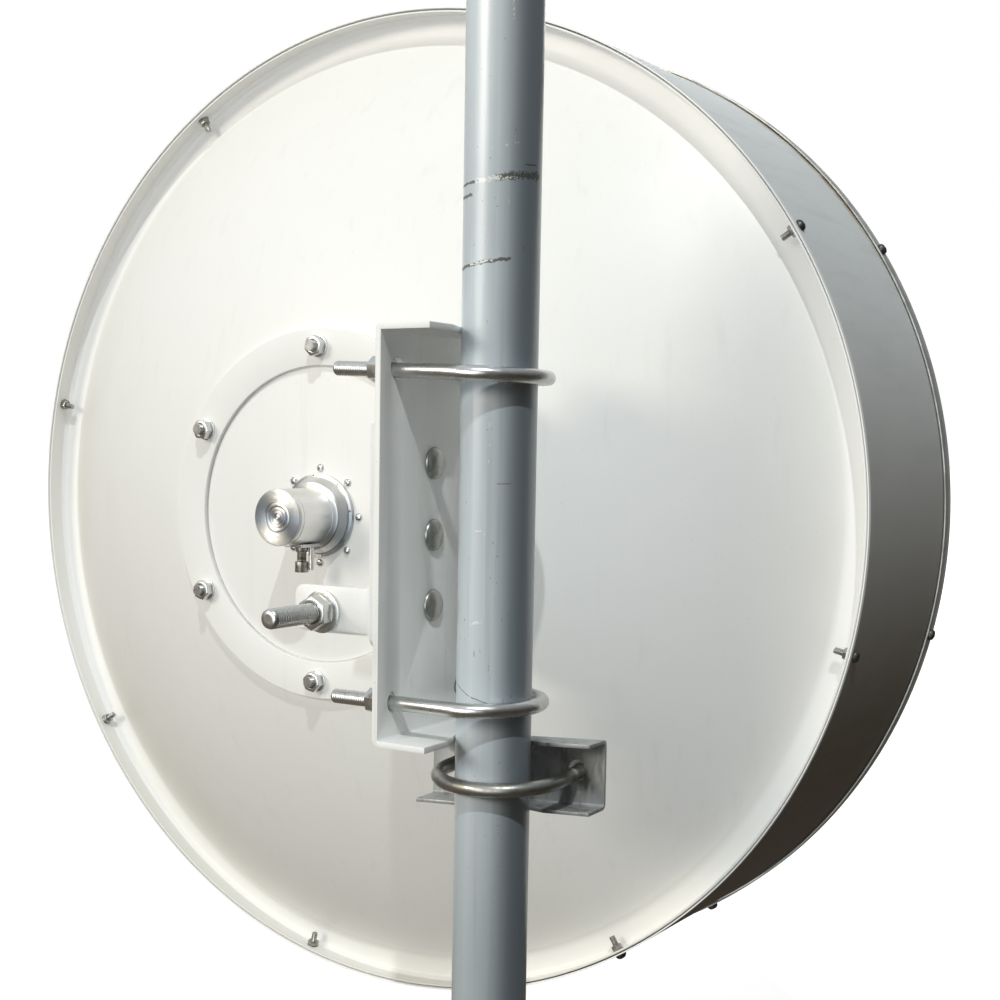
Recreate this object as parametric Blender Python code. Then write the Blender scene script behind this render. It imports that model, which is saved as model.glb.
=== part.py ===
"""A shrouded microwave dish antenna on a steel pole, every solid piece at its real size in metres.

The origin is the centre of the pole's flat foot. +Z is up and +Y is the way the dish looks.
Pieces of the antenna are drawn in the dish's own axes, with the origin on the dish axis at the
back edge of the reflector's lip, and on_dish() turns such a place into a place in the world.
"""

import math

import bmesh
import bpy
from mathutils import Matrix, Vector

# Gap left between pieces that touch
GAP = 0.0003

# Pole: a 2 inch steel pipe, whose foot stands at the origin
POLE_RADIUS = 0.03015
POLE_WALL = 0.004
POLE_HEIGHT = 1.32

# Place of the dish axis against the pole
DISH_X = -0.267
DISH_Y = 0.244
DISH_Z = 0.70

# Reflector of 0.9 m class with a lip turned back and a flat shelf beside it
LIP_RADIUS = 0.4874
LIP_DEPTH = 0.022
SHEET = 0.002
SHELF_WIDTH = 0.0205
BOWL_RADIUS = LIP_RADIUS - SHEET - SHELF_WIDTH
BOWL_BACK = -0.1172
FLAT_RADIUS = 0.178
ROUND_PARTS = 96

# Hub on the reflector's flat back
HUB_OUTER_RADIUS = 0.1745
HUB_INNER_RADIUS = 0.140
HUB_RING_THICKNESS = 0.006
HUB_PLATE_THICKNESS = 0.002
HUB_BOLT_CIRCLE = 0.1576
HUB_BOLTS = 6
HUB_BACK = BOWL_BACK - GAP - HUB_RING_THICKNESS
HUB_PLATE_BACK = BOWL_BACK - GAP - HUB_PLATE_THICKNESS

# Shroud and radome
SHROUD_REAR_RADIUS = 0.490
SHROUD_FRONT_RADIUS = 0.4962
SHROUD_SHEET = 0.0012
SHROUD_REAR_Y = -0.001
FRONT_Y = 0.2376
BAND_WIDTH = 0.019
BAND_SHEET = 0.0015
BAND_RADIUS = 0.4986
RADOME_THICKNESS = 0.003

# Feed, from the hub towards the back
FEED_FLANGE_RADIUS = 0.0395
FEED_FLANGE_THICKNESS = 0.0042
COLLAR_BACK_RADIUS = 0.0305
COLLAR_FRONT_RADIUS = 0.036
COLLAR_LENGTH = 0.0105
HOUSING_RADIUS = 0.026
FEED_END_Y = -0.1845
END_CAP_LENGTH = 0.0074
CONNECTOR_Y = -0.148
CONNECTOR_END_Z = -0.052
CONNECTOR_PLATE = (0.022, 0.026, 0.003)

# Half of the angle of the V notches that seat on the pole, in degrees
NOTCH_HALF_ANGLE = 70.25

# Channel that seats on the pole, and the bracket bolted to it
CHANNEL_FACE_X = 0.2045
CHANNEL_SHEET = 0.005
CHANNEL_NEAR_Y = -0.3155
CHANNEL_FAR_Y = -0.1725
CHANNEL_TOP_Z = 0.160
CHANNEL_BOTTOM_Z = -0.166
CHANNEL_TOP_BEND = 0.0045
CHANNEL_BOTTOM_BEND = 0.007
CHANNEL_FLANGE_END_X = 0.2485
BRACKET_SHEET = 0.005
BRACKET_FACE_X = CHANNEL_FACE_X - CHANNEL_SHEET - GAP
BRACKET_NEAR_Y = -0.3146
BRACKET_TOP_Z = 0.150
FOOT_END_X = 0.108
FOOT_HALF_HEIGHT = 0.118
TAB_END_X = 0.1245
TAB_FRONT_Y = -0.3155
TAB_BOTTOM_Z = -0.080
TAB_TOP_Z = -0.043

# Fixings
M10_RADIUS = 0.005
M10_NUT_FLATS = 0.017
M12_RADIUS = 0.0059
M12_NUT_FLATS = 0.018
M12_NUT_HEIGHT = 0.0108
M12_WASHER_RADIUS = 0.012
M12_WASHER_THICKNESS = 0.0025
SPRING_WASHER_RADIUS = 0.0103
SPRING_WASHER_THICKNESS = 0.003
M16_RADIUS = 0.008
M16_NUT_FLATS = 0.024
M16_NUT_HEIGHT = 0.013
U_BOLT_SPACING = 0.101
U_BOLT_HOLE_RADIUS = 0.0086
U_BOLT_NEAR_Y = -0.2945
U_BOLT_HOLE_Y = -0.2930
U_BOLT_END_X = 0.1475
# Each of the mount's U-bolts: height of its legs in the web, slope along x, height of its holes
U_BOLT_WEB_X = 0.202
U_BOLT_ROWS = {"upper": (0.1254, -0.0358, 0.1271), "lower": (-0.1336, 0.0, -0.1331)}
CARRIAGE_BOLT_Y = -0.239
CARRIAGE_BOLT_Z = (0.054, -0.004, -0.061)
STUD_X = 0.1521
STUD_Z = -0.0634
STUD_BACK_Y = -0.384
STUD_FRONT_Y = -0.292

# Clamp lower down on the pole, which leans a little to its left end
CLAMP_WEB_Y = -0.1975
CLAMP_SHEET = 0.003
CLAMP_NEAR_Y = -0.2243
CLAMP_LEFT_X = 0.181
CLAMP_RIGHT_X = 0.3435
CLAMP_TOP_Z = -0.1675
CLAMP_BOTTOM_Z = -0.2247
CLAMP_BEND = 0.005
CLAMP_SLOPE = 0.060
CLAMP_U_BOLT_Z = -0.1927
CLAMP_U_BOLT_SLOPE = 0.048
CLAMP_LEGS_X = (0.2155, 0.3185)
CLAMP_HOLE_Z = -0.1907


# Finish of each kind of surface: colour, roughness and metallic value
FINISHES = {
    "white_paint": ((0.86, 0.85, 0.81), 0.35, 0.0),
    "mount_paint": ((0.78, 0.78, 0.75), 0.45, 0.0),
    "shroud_paint": ((0.30, 0.34, 0.35), 0.5, 0.0),
    "pole_paint": ((0.29, 0.34, 0.38), 0.3, 0.0),
    "radome_sheet": ((0.62, 0.63, 0.62), 0.6, 0.0),
    "band_metal": ((0.33, 0.31, 0.27), 0.5, 1.0),
    "feed_aluminium": ((0.80, 0.80, 0.78), 0.3, 1.0),
    "zinc": ((0.66, 0.66, 0.63), 0.35, 1.0),
    "galvanised": ((0.52, 0.55, 0.56), 0.5, 1.0),
    "connector_metal": ((0.25, 0.22, 0.17), 0.4, 1.0),
}


def finish(name):
    """The named finish as a Principled BSDF material."""
    if name in bpy.data.materials:
        return bpy.data.materials[name]
    colour, roughness, metallic = FINISHES[name]
    material = bpy.data.materials.new(name)
    material.use_nodes = True
    shader = material.node_tree.nodes["Principled BSDF"]
    shader.inputs["Base Color"].default_value = (*colour, 1.0)
    shader.inputs["Roughness"].default_value = roughness
    shader.inputs["Metallic"].default_value = metallic
    material.diffuse_color = (*colour, 1.0)
    return material


def on_dish(x, y, z):
    """World place of a point given in the dish's own axes."""
    return Vector((x + DISH_X, y + DISH_Y, z + DISH_Z))


def add_object(name, bm, finish_name, smooth_angle=35.0):
    """Makes an object from the bmesh, with its faces turned outward."""
    bmesh.ops.recalc_face_normals(bm, faces=bm.faces)
    mesh = bpy.data.meshes.new(name)
    bm.to_mesh(mesh)
    bm.free()
    mesh.materials.append(finish(finish_name))
    mesh.shade_smooth()
    mesh.set_sharp_from_angle(angle=math.radians(smooth_angle))
    obj = bpy.data.objects.new(name, mesh)
    bpy.context.scene.collection.objects.link(obj)
    return obj


def turned(profile, origin, axis, segments):
    """A turned shape: profile is a loop of (radius, distance along the axis from the origin).

    A profile that starts and ends on the axis is left open there, and any other is closed.
    """
    bm = bmesh.new()
    along = Vector(axis)
    side = Vector((0, 0, 1)) if abs(along.z) < 0.5 else Vector((1, 0, 0))
    across = along.cross(side)
    turns = [2 * math.pi * n / segments for n in range(segments)]
    rings = []
    for radius, distance in profile:
        centre = origin + along * distance
        if radius == 0:
            rings.append([bm.verts.new(centre)])
            continue
        spokes = [math.cos(t) * side + math.sin(t) * across for t in turns]
        rings.append([bm.verts.new(centre + radius * spoke) for spoke in spokes])
    pairs = list(zip(rings, rings[1:]))
    if profile[0][0] > 0:
        pairs.append((rings[-1], rings[0]))
    for first, second in pairs:
        for n in range(segments):
            m = (n + 1) % segments
            if len(first) == 1:
                bm.faces.new((first[0], second[n], second[m]))
            elif len(second) == 1:
                bm.faces.new((first[n], first[m], second[0]))
            else:
                bm.faces.new((first[n], first[m], second[m], second[n]))
    return bm


def prism(outline, place, depth):
    """The outline's (u, v) points, put in space by place(u, v), and pushed out by the vector depth."""
    bm = bmesh.new()
    face = bm.faces.new([bm.verts.new(place(u, v)) for u, v in outline])
    pushed = bmesh.ops.extrude_face_region(bm, geom=[face])
    moved = [item for item in pushed["geom"] if isinstance(item, bmesh.types.BMVert)]
    bmesh.ops.translate(bm, verts=moved, vec=depth)
    return bm


def arc(centre, radius, start, end, steps):
    """Points of an arc in a plane, with its angles in degrees."""
    turns = [math.radians(start + (end - start) * n / steps) for n in range(steps + 1)]
    return [(centre[0] + radius * math.cos(t), centre[1] + radius * math.sin(t)) for t in turns]


def cutter(name, bm):
    """A hidden helper that a Boolean uses."""
    obj = add_object(name, bm, "zinc")
    obj.hide_render = True
    obj.display_type = "WIRE"
    return obj


def boolean(obj, other, operation):
    """Adds a Boolean with the other object to this one."""
    modifier = obj.modifiers.new(other.name, "BOOLEAN")
    modifier.operation = operation
    modifier.solver = "EXACT"
    modifier.object = other


def drill(obj, name, centre, axis, radius, length):
    """Cuts a round hole through the object, with its middle at the centre."""
    half = length / 2
    bm = turned([(0, -half), (radius, -half), (radius, half), (0, half)], centre, axis, 32)
    boolean(obj, cutter(name, bm), "DIFFERENCE")


def baked(obj):
    """Replaces the object by its evaluated mesh and returns that mesh."""
    bpy.context.view_layer.update()
    graph = bpy.context.evaluated_depsgraph_get()
    mesh = bpy.data.meshes.new_from_object(obj.evaluated_get(graph))
    mesh.name = obj.name
    helpers = [modifier.object for modifier in obj.modifiers]
    bpy.data.objects.remove(obj)
    for helper in helpers:
        bpy.data.objects.remove(helper)
    return mesh


def place_copy(name, mesh, location, axis):
    """An object that shares the mesh, with the mesh's +Z along the axis."""
    obj = bpy.data.objects.new(name, mesh)
    obj.location = location
    obj.rotation_euler = Vector(axis).to_track_quat("Z", "Y").to_euler()
    bpy.context.scene.collection.objects.link(obj)
    return obj


def hexagon(flats, first=0):
    """Corners of a hexagon of this size across its flats, the first one at this angle in degrees."""
    radius = flats / math.sqrt(3)
    turns = [math.radians(first + 60 * n) for n in range(6)]
    return [(radius * math.cos(t), radius * math.sin(t)) for t in turns]


def nut_profile(flats, height, bore):
    """Half section of a nut's turned blank, with both corners bevelled at 30 degrees."""
    corner = flats / math.sqrt(3) + 0.0002
    inner = flats / 2 * 0.95
    drop = (corner - inner) * math.tan(math.radians(30))
    return [(bore, 0), (inner, 0), (corner, drop), (corner, height - drop), (inner, height), (bore, height)]


def nut_mesh(name, flats, height, bore, finish_name, first=0):
    """A hexagon nut that stands on z = 0."""
    blank = prism(hexagon(flats, first), lambda u, v: Vector((u, v, -0.001)), Vector((0, 0, height + 0.002)))
    nut = add_object(name, blank, finish_name, 20.0)
    profile = nut_profile(flats, height, bore)
    boolean(nut, cutter(name + "_blank", turned(profile, Vector((0, 0, 0)), (0, 0, 1), 24)), "INTERSECT")
    return baked(nut)


def pole():
    """Steel pipe, open at the top, with a disc welded flush into its foot."""
    inner = POLE_RADIUS - POLE_WALL
    edge = 0.001
    profile = [
        (0, 0),
        (POLE_RADIUS - edge, 0),
        (POLE_RADIUS, edge),
        (POLE_RADIUS, POLE_HEIGHT - edge),
        (POLE_RADIUS - edge, POLE_HEIGHT),
        (inner, POLE_HEIGHT),
        (inner, 0.006),
        (0, 0.006),
    ]
    add_object("pole", turned(profile, Vector((0, 0, 0)), (0, 0, 1), 48), "pole_paint")


def dish_turned(name, profile, finish_name, segments=ROUND_PARTS):
    """A piece turned about the dish axis, with its profile as (radius, dish y)."""
    return add_object(name, turned(profile, on_dish(0, 0, 0), (0, 1, 0), segments), finish_name)


def bowl_y(radius):
    """Dish y of the bowl's back, a paraboloid that starts at the flat's edge."""
    curve = (LIP_DEPTH - BOWL_BACK) / (BOWL_RADIUS**2 - FLAT_RADIUS**2)
    return BOWL_BACK + curve * (radius**2 - FLAT_RADIUS**2)


def shroud_radius(y):
    """Outer radius of the shroud at this dish y."""
    share = (y - SHROUD_REAR_Y) / (FRONT_Y - SHROUD_REAR_Y)
    return SHROUD_REAR_RADIUS + (SHROUD_FRONT_RADIUS - SHROUD_REAR_RADIUS) * share


def reflector():
    """Spun aluminium bowl with its flat back, the shelf at its rim and the lip turned back."""
    bowl_steps = 6
    bowl_width = BOWL_RADIUS - 0.004 - FLAT_RADIUS
    radii = [FLAT_RADIUS + bowl_width * n / bowl_steps for n in range(bowl_steps + 1)]
    back = [(0, BOWL_BACK)] + [(radius, bowl_y(radius)) for radius in radii]
    back.append((BOWL_RADIUS - 0.001, LIP_DEPTH - 0.0022))
    back.append((BOWL_RADIUS + 0.003, LIP_DEPTH))
    # The lip is widest at its root, where it meets the shroud
    root = shroud_radius(LIP_DEPTH) - SHROUD_SHEET - GAP
    inner_root = root - SHEET
    back += arc((inner_root - 0.003, LIP_DEPTH - 0.003), 0.003, 90, 0, 3)
    back.append((LIP_RADIUS - SHEET, 0))
    front = [(LIP_RADIUS, 0), (root, LIP_DEPTH - 0.003)]
    front += arc((inner_root - 0.003, LIP_DEPTH - 0.003), 0.003 + SHEET, 30, 90, 2)
    front.append((BOWL_RADIUS + 0.002, LIP_DEPTH + SHEET))
    front.append((BOWL_RADIUS - 0.002, LIP_DEPTH + SHEET - 0.002))
    front += [(radius, bowl_y(radius) + SHEET * 1.15) for radius in reversed(radii)]
    front.append((0, BOWL_BACK + SHEET * 1.15))
    dish_turned("reflector", back + front, "white_paint")


def hub():
    """Flat ring and inner disc on the back of the reflector."""
    front = BOWL_BACK - GAP
    edge = 0.0006
    ring = [
        (HUB_INNER_RADIUS, front),
        (HUB_OUTER_RADIUS, front),
        (HUB_OUTER_RADIUS, HUB_BACK + edge),
        (HUB_OUTER_RADIUS - edge, HUB_BACK),
        (HUB_INNER_RADIUS + edge, HUB_BACK),
        (HUB_INNER_RADIUS, HUB_BACK + edge),
    ]
    dish_turned("hub_ring", ring, "white_paint")
    rim = HUB_INNER_RADIUS - 0.0012
    disc = [(0, front), (rim, front), (rim, HUB_PLATE_BACK + edge)]
    disc += [(rim - edge, HUB_PLATE_BACK), (0, HUB_PLATE_BACK)]
    dish_turned("hub_plate", disc, "white_paint")


def shroud():
    """Sheet metal drum round the reflector, a little wider at the front."""
    front = FRONT_Y - RADOME_THICKNESS - GAP
    profile = [
        (shroud_radius(SHROUD_REAR_Y), SHROUD_REAR_Y),
        (shroud_radius(front), front),
        (shroud_radius(front) - SHROUD_SHEET, front),
        (shroud_radius(SHROUD_REAR_Y) - SHROUD_SHEET, SHROUD_REAR_Y),
    ]
    dish_turned("shroud", profile, "shroud_paint")


def radome():
    """Flat front cover, and the band round it that holds it on the shroud."""
    rim = BAND_RADIUS - BAND_SHEET - GAP
    edge = 0.001
    cover = [
        (0, FRONT_Y - RADOME_THICKNESS),
        (rim, FRONT_Y - RADOME_THICKNESS),
        (rim, FRONT_Y - edge),
        (rim - edge, FRONT_Y),
        (0, FRONT_Y),
    ]
    dish_turned("radome", cover, "radome_sheet")
    inner = BAND_RADIUS - BAND_SHEET
    band = [
        (inner, FRONT_Y - BAND_WIDTH),
        (BAND_RADIUS, FRONT_Y - BAND_WIDTH),
        (BAND_RADIUS, FRONT_Y),
        (inner, FRONT_Y),
    ]
    dish_turned("radome_band", band, "band_metal")


def feed():
    """Flange, collar, housing and end cap of the feed, one behind the other on the dish axis."""
    flange_front = HUB_PLATE_BACK - GAP
    flange_back = flange_front - FEED_FLANGE_THICKNESS
    edge = 0.0005
    flange = [
        (0, flange_front),
        (FEED_FLANGE_RADIUS, flange_front),
        (FEED_FLANGE_RADIUS, flange_back + edge),
        (FEED_FLANGE_RADIUS - edge, flange_back),
        (0, flange_back),
    ]
    dish_turned("feed_flange", flange, "feed_aluminium", 48)
    collar_front = flange_back - GAP
    collar_back = collar_front - COLLAR_LENGTH
    shoulder = collar_front - 0.0015
    collar = [(0, collar_front), (COLLAR_FRONT_RADIUS, collar_front), (COLLAR_FRONT_RADIUS, shoulder)]
    collar += [(COLLAR_BACK_RADIUS + 0.0015, collar_back + 0.001), (COLLAR_BACK_RADIUS, collar_back)]
    collar.append((0, collar_back))
    dish_turned("feed_collar", collar, "feed_aluminium", 48)
    housing_front = collar_back - GAP
    housing_back = FEED_END_Y + END_CAP_LENGTH
    housing = [
        (0, housing_front),
        (HOUSING_RADIUS, housing_front),
        (HOUSING_RADIUS, housing_back + edge),
        (HOUSING_RADIUS - edge, housing_back),
        (0, housing_back),
    ]
    body = dish_turned("feed_housing", housing, "feed_aluminium", 48)
    seat = on_dish(0, CONNECTOR_Y, -HOUSING_RADIUS)
    width, length, _ = CONNECTOR_PLATE
    flat = prism(
        [(-width, -length), (width, -length), (width, length), (-width, length)],
        lambda u, v: seat + Vector((u, v, -0.004)),
        Vector((0, 0, 0.005)),
    )
    boolean(body, cutter("housing_flat_cutter", flat), "DIFFERENCE")
    cap_front = housing_back - GAP
    cap = [
        (0, cap_front),
        (HOUSING_RADIUS - edge, cap_front),
        (HOUSING_RADIUS, cap_front - edge),
        (HOUSING_RADIUS, FEED_END_Y + 0.001),
        (HOUSING_RADIUS - 0.001, FEED_END_Y),
        (0.0125, FEED_END_Y),
        (0.0115, FEED_END_Y + 0.0006),
        (0.0070, FEED_END_Y + 0.0006),
        (0.0060, FEED_END_Y),
        (0, FEED_END_Y),
    ]
    dish_turned("feed_end_cap", cap, "feed_aluminium", 48)


def connector():
    """Square flanged coaxial connector under the feed housing."""
    width, length, thickness = CONNECTOR_PLATE
    top = -HOUSING_RADIUS + 0.001 - GAP
    corner = on_dish(-width / 2, CONNECTOR_Y - length / 2, top - thickness)
    plate = prism(
        [(0, 0), (width, 0), (width, length), (0, length)],
        lambda u, v: corner + Vector((u, v, 0)),
        Vector((0, 0, thickness)),
    )
    add_object("connector_plate", plate, "feed_aluminium")
    start = top - thickness - GAP
    length = start - CONNECTOR_END_Z
    barrel = [
        (0, 0),
        (0.0058, 0),
        (0.0058, 0.004),
        (0.0045, 0.0046),
        (0.0045, length * 0.55),
        (0.0062, length * 0.58),
        (0.0062, length - 0.001),
        (0.0054, length),
        (0.0038, length),
        (0.0038, length - 0.005),
        (0, length - 0.005),
    ]
    origin = on_dish(0, CONNECTOR_Y, start)
    add_object("feed_connector", turned(barrel, origin, (0, 0, -1), 32), "connector_metal")


def hub_bolts():
    """Washer, nut and stud end of each bolt on the hub ring."""
    nut = add_object(
        "hub_bolt_mesh",
        prism(hexagon(M10_NUT_FLATS), lambda u, v: Vector((u, v, 0.001)), Vector((0, 0, 0.0092))),
        "zinc",
        20.0,
    )
    blank = [(0, 0.001), (M10_NUT_FLATS / 2, 0.001), (0.0098, 0.002), (0.0098, 0.0094)]
    blank += [(0.0081, 0.0102), (0, 0.0102)]
    boolean(nut, cutter("hub_nut_blank", turned(blank, Vector((0, 0, 0)), (0, 0, 1), 24)), "INTERSECT")
    washer = [(0, 0), (0.0102, 0), (0.0102, 0.0018), (0.0052, 0.0018), (M10_RADIUS, 0.0030)]
    washer += [(M10_RADIUS, 0.0142), (0.0042, 0.0150), (0, 0.0150)]
    boolean(nut, cutter("hub_washer", turned(washer, Vector((0, 0, 0)), (0, 0, 1), 24)), "UNION")
    mesh = baked(nut)
    for n in range(HUB_BOLTS):
        turn = math.radians(30 + 360 * n / HUB_BOLTS)
        x = HUB_BOLT_CIRCLE * math.cos(turn)
        z = HUB_BOLT_CIRCLE * math.sin(turn)
        seat = HUB_BACK - GAP
        if x > FOOT_END_X:
            seat -= BRACKET_SHEET + GAP
        place_copy(f"hub_bolt_{n + 1}", mesh, on_dish(x, seat, z), (0, -1, 0))


def notch_outline(depth):
    """A V that opens along +u from a vertex at the origin, as deep as this."""
    spread = depth * math.tan(math.radians(NOTCH_HALF_ANGLE))
    return [(0, 0), (depth, -spread), (depth, spread)]


def mount_channel():
    """Bent channel that seats on the pole with a V notch in each flange."""
    face, sheet = CHANNEL_FACE_X, CHANNEL_SHEET
    top, bottom, end = CHANNEL_TOP_Z, CHANNEL_BOTTOM_Z, CHANNEL_FLANGE_END_X
    back = face - sheet
    upper, lower = CHANNEL_TOP_BEND, CHANNEL_BOTTOM_BEND
    inner = lower - sheet
    section = [(end, top), *arc((back + upper, top - upper), upper, 90, 180, 5)]
    section += [*arc((back + lower, bottom + lower), lower, 180, 270, 6), (end, bottom)]
    section += [(end, bottom + sheet), *arc((face + inner, bottom + lower), inner, 270, 180, 4)]
    section += [(face, top - sheet), (end, top - sheet)]
    body = prism(
        section,
        lambda u, v: on_dish(u, CHANNEL_NEAR_Y, v),
        Vector((0, CHANNEL_FAR_Y - CHANNEL_NEAR_Y, 0)),
    )
    channel = add_object("mount_channel", body, "mount_paint")
    vertex = -DISH_X - (POLE_RADIUS + GAP) / math.sin(math.radians(NOTCH_HALF_ANGLE))
    clear = 0.01
    notch = prism(
        notch_outline(end - vertex + clear),
        lambda u, v: on_dish(vertex + u, -DISH_Y + v, bottom - clear),
        Vector((0, 0, top - bottom + 2 * clear)),
    )
    boolean(channel, cutter("channel_notch", notch), "DIFFERENCE")
    middle = face - sheet / 2
    for row, (_, _, height) in U_BOLT_ROWS.items():
        for side, y in (("near", U_BOLT_HOLE_Y), ("far", -2 * DISH_Y - U_BOLT_HOLE_Y)):
            centre = on_dish(middle, y, height)
            drill(channel, f"{row}_{side}_hole", centre, (1, 0, 0), U_BOLT_HOLE_RADIUS, 0.03)
    for n, z in enumerate(CARRIAGE_BOLT_Z):
        centre = on_dish(middle, CARRIAGE_BOLT_Y, z)
        drill(channel, f"channel_bolt_hole_{n + 1}", centre, (1, 0, 0), M10_RADIUS + GAP, 0.03)


def dish_bracket():
    """Bent plate between the channel and the hub, with a tab for the strut's stud."""
    face, sheet = BRACKET_FACE_X, BRACKET_SHEET
    back = face - sheet
    inner = 0.003
    outer = inner + sheet
    foot_y = HUB_BACK - GAP
    bottom = -FOOT_HALF_HEIGHT
    # The bent section runs from the foot's end over the plate to the tab's end
    section = [(FOOT_END_X, foot_y)]
    section += arc((face - outer, foot_y - outer), outer, 90, 0, 6)
    section += arc((face - outer, TAB_FRONT_Y + outer), outer, 0, -90, 6)
    section += [(TAB_END_X, TAB_FRONT_Y), (TAB_END_X, TAB_FRONT_Y + sheet)]
    section += arc((back - inner, TAB_FRONT_Y + outer), inner, -90, 0, 4)
    section += arc((back - inner, foot_y - outer), inner, 0, 90, 4)
    section.append((FOOT_END_X, foot_y - sheet))
    body = prism(section, lambda u, v: on_dish(u, v, bottom), Vector((0, 0, BRACKET_TOP_Z - bottom)))
    bracket = add_object("dish_bracket", body, "mount_paint")

    def trim(name, outline):
        """Cuts this outline, given as (dish y, dish z), out of the bracket from side to side."""
        shape = prism(outline, lambda u, v: on_dish(FOOT_END_X - 0.01, u, v), Vector((0.12, 0, 0)))
        boolean(bracket, cutter(name, shape), "DIFFERENCE")

    over = 0.2
    front = -0.34
    shoulder_z = 0.084
    trim(
        "bracket_front_cutter",
        [
            (front, shoulder_z - 0.012),
            (BRACKET_NEAR_Y, shoulder_z - 0.012),
            (BRACKET_NEAR_Y, shoulder_z),
            (-0.2486, 0.118),
            (-0.2486, over),
            (front, over),
        ],
    )
    trim("bracket_back_cutter", [(-0.209, 0.108), (-0.10, FOOT_HALF_HEIGHT), (-0.10, over), (-0.209, over)])
    corner = 0.012
    low = -0.090
    rounded = arc((BRACKET_NEAR_Y + corner, low + corner), corner, 180, 270, 5)
    trim(
        "bracket_bottom_cutter",
        [(front, low + corner), *rounded, (-0.235, low), (-0.190, bottom), (-0.190, -over), (front, -over)],
    )

    def trim_tab(name, outline):
        """Cuts this outline, given as (dish x, dish z), out of the tab's side of the bracket."""
        shape = prism(outline, lambda u, v: on_dish(u, front, v), Vector((0, 0.034, 0)))
        boolean(bracket, cutter(name, shape), "DIFFERENCE")

    side = back + 0.001
    far = FOOT_END_X - 0.01
    round_tab = 0.008
    top_corner = arc((TAB_END_X + round_tab, TAB_TOP_Z - round_tab), round_tab, 180, 90, 5)
    fillet = arc((side - 0.004, TAB_TOP_Z + 0.004), 0.004, 270, 360, 4)
    tab_top = [(far, TAB_TOP_Z - round_tab), *top_corner, *fillet, (side, over), (far, over)]
    trim_tab("tab_top_cutter", tab_top)
    bottom_corner = arc((TAB_END_X + round_tab, TAB_BOTTOM_Z + round_tab), round_tab, 180, 270, 5)
    tab_bottom = [(far, TAB_BOTTOM_Z + round_tab), *bottom_corner, (side, TAB_BOTTOM_Z)]
    tab_bottom += [(side, -over), (far, -over)]
    trim_tab("tab_bottom_cutter", tab_bottom)
    stud_centre = on_dish(STUD_X, TAB_FRONT_Y + sheet / 2, STUD_Z)
    drill(bracket, "stud_hole", stud_centre, (0, 1, 0), M16_RADIUS + 0.0005, 0.02)
    for n, z in enumerate(CARRIAGE_BOLT_Z):
        centre = on_dish(face - sheet / 2, CARRIAGE_BOLT_Y, z)
        drill(bracket, f"bracket_bolt_hole_{n + 1}", centre, (1, 0, 0), M10_RADIUS + GAP, 0.02)


def carriage_bolts():
    """Domed bolts through channel and bracket, each with its washer and nut behind."""
    head_radius = 0.013
    head_height = 0.0055
    behind = CHANNEL_SHEET + BRACKET_SHEET + 2 * GAP
    dome = arc((0, 0), 1.0, 90, 0, 6)
    head = [(head_radius * u, GAP + head_height * v) for u, v in dome]
    tip = -behind - 0.012
    shank = [(M10_RADIUS, GAP), (M10_RADIUS, tip + 0.0008), (0.0042, tip), (0, tip)]
    shape = turned(head + shank, Vector((0, 0, 0)), (0, 0, 1), 24)
    bolt = add_object("carriage_bolt_mesh", shape, "zinc")
    washer = [(0.0048, -behind), (0.0048, -behind - 0.0018), (0.0105, -behind - 0.0018), (0.0105, -behind)]
    boolean(bolt, cutter("carriage_washer", turned(washer, Vector((0, 0, 0)), (0, 0, 1), 24)), "UNION")
    nut = prism(
        hexagon(M10_NUT_FLATS),
        lambda u, v: Vector((u, v, -behind - 0.0016)),
        Vector((0, 0, -0.0076)),
    )
    boolean(bolt, cutter("carriage_nut", nut), "UNION")
    mesh = baked(bolt)
    for n, z in enumerate(CARRIAGE_BOLT_Z):
        seat = on_dish(CHANNEL_FACE_X, CARRIAGE_BOLT_Y, z)
        place_copy(f"carriage_bolt_{n + 1}", mesh, seat, (1, 0, 0))


def bent_rod(name, points, finish_name):
    """A round M12 rod bent along the points."""
    curve = bpy.data.curves.new(name, "CURVE")
    curve.dimensions = "3D"
    curve.bevel_depth = M12_RADIUS
    curve.bevel_resolution = 4
    curve.use_fill_caps = True
    spline = curve.splines.new("POLY")
    spline.points.add(len(points) - 1)
    for point, place in zip(spline.points, points):
        point.co = (*place, 1.0)
    curve.materials.append(finish(finish_name))
    obj = bpy.data.objects.new(name, curve)
    bpy.context.scene.collection.objects.link(obj)
    return obj


def u_bolt_nut():
    """Mesh of an M12 nut on its washer and spring washer."""
    bore = M12_RADIUS + GAP
    nut = nut_mesh("u_bolt_nut_mesh", M12_NUT_FLATS, M12_NUT_HEIGHT, bore, "zinc")
    thickness = M12_WASHER_THICKNESS
    height = thickness + SPRING_WASHER_THICKNESS
    nut.transform(Matrix.Translation((0, 0, height - 0.0002)))
    both = bpy.data.objects.new("u_bolt_nut", nut)
    bpy.context.scene.collection.objects.link(both)
    washer = [(bore, 0), (M12_WASHER_RADIUS, 0), (M12_WASHER_RADIUS, thickness)]
    washer += [(SPRING_WASHER_RADIUS, thickness), (SPRING_WASHER_RADIUS, height), (bore, height)]
    boolean(both, cutter("u_bolt_washer", turned(washer, Vector((0, 0, 0)), (0, 0, 1), 24)), "UNION")
    return baked(both)


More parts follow.
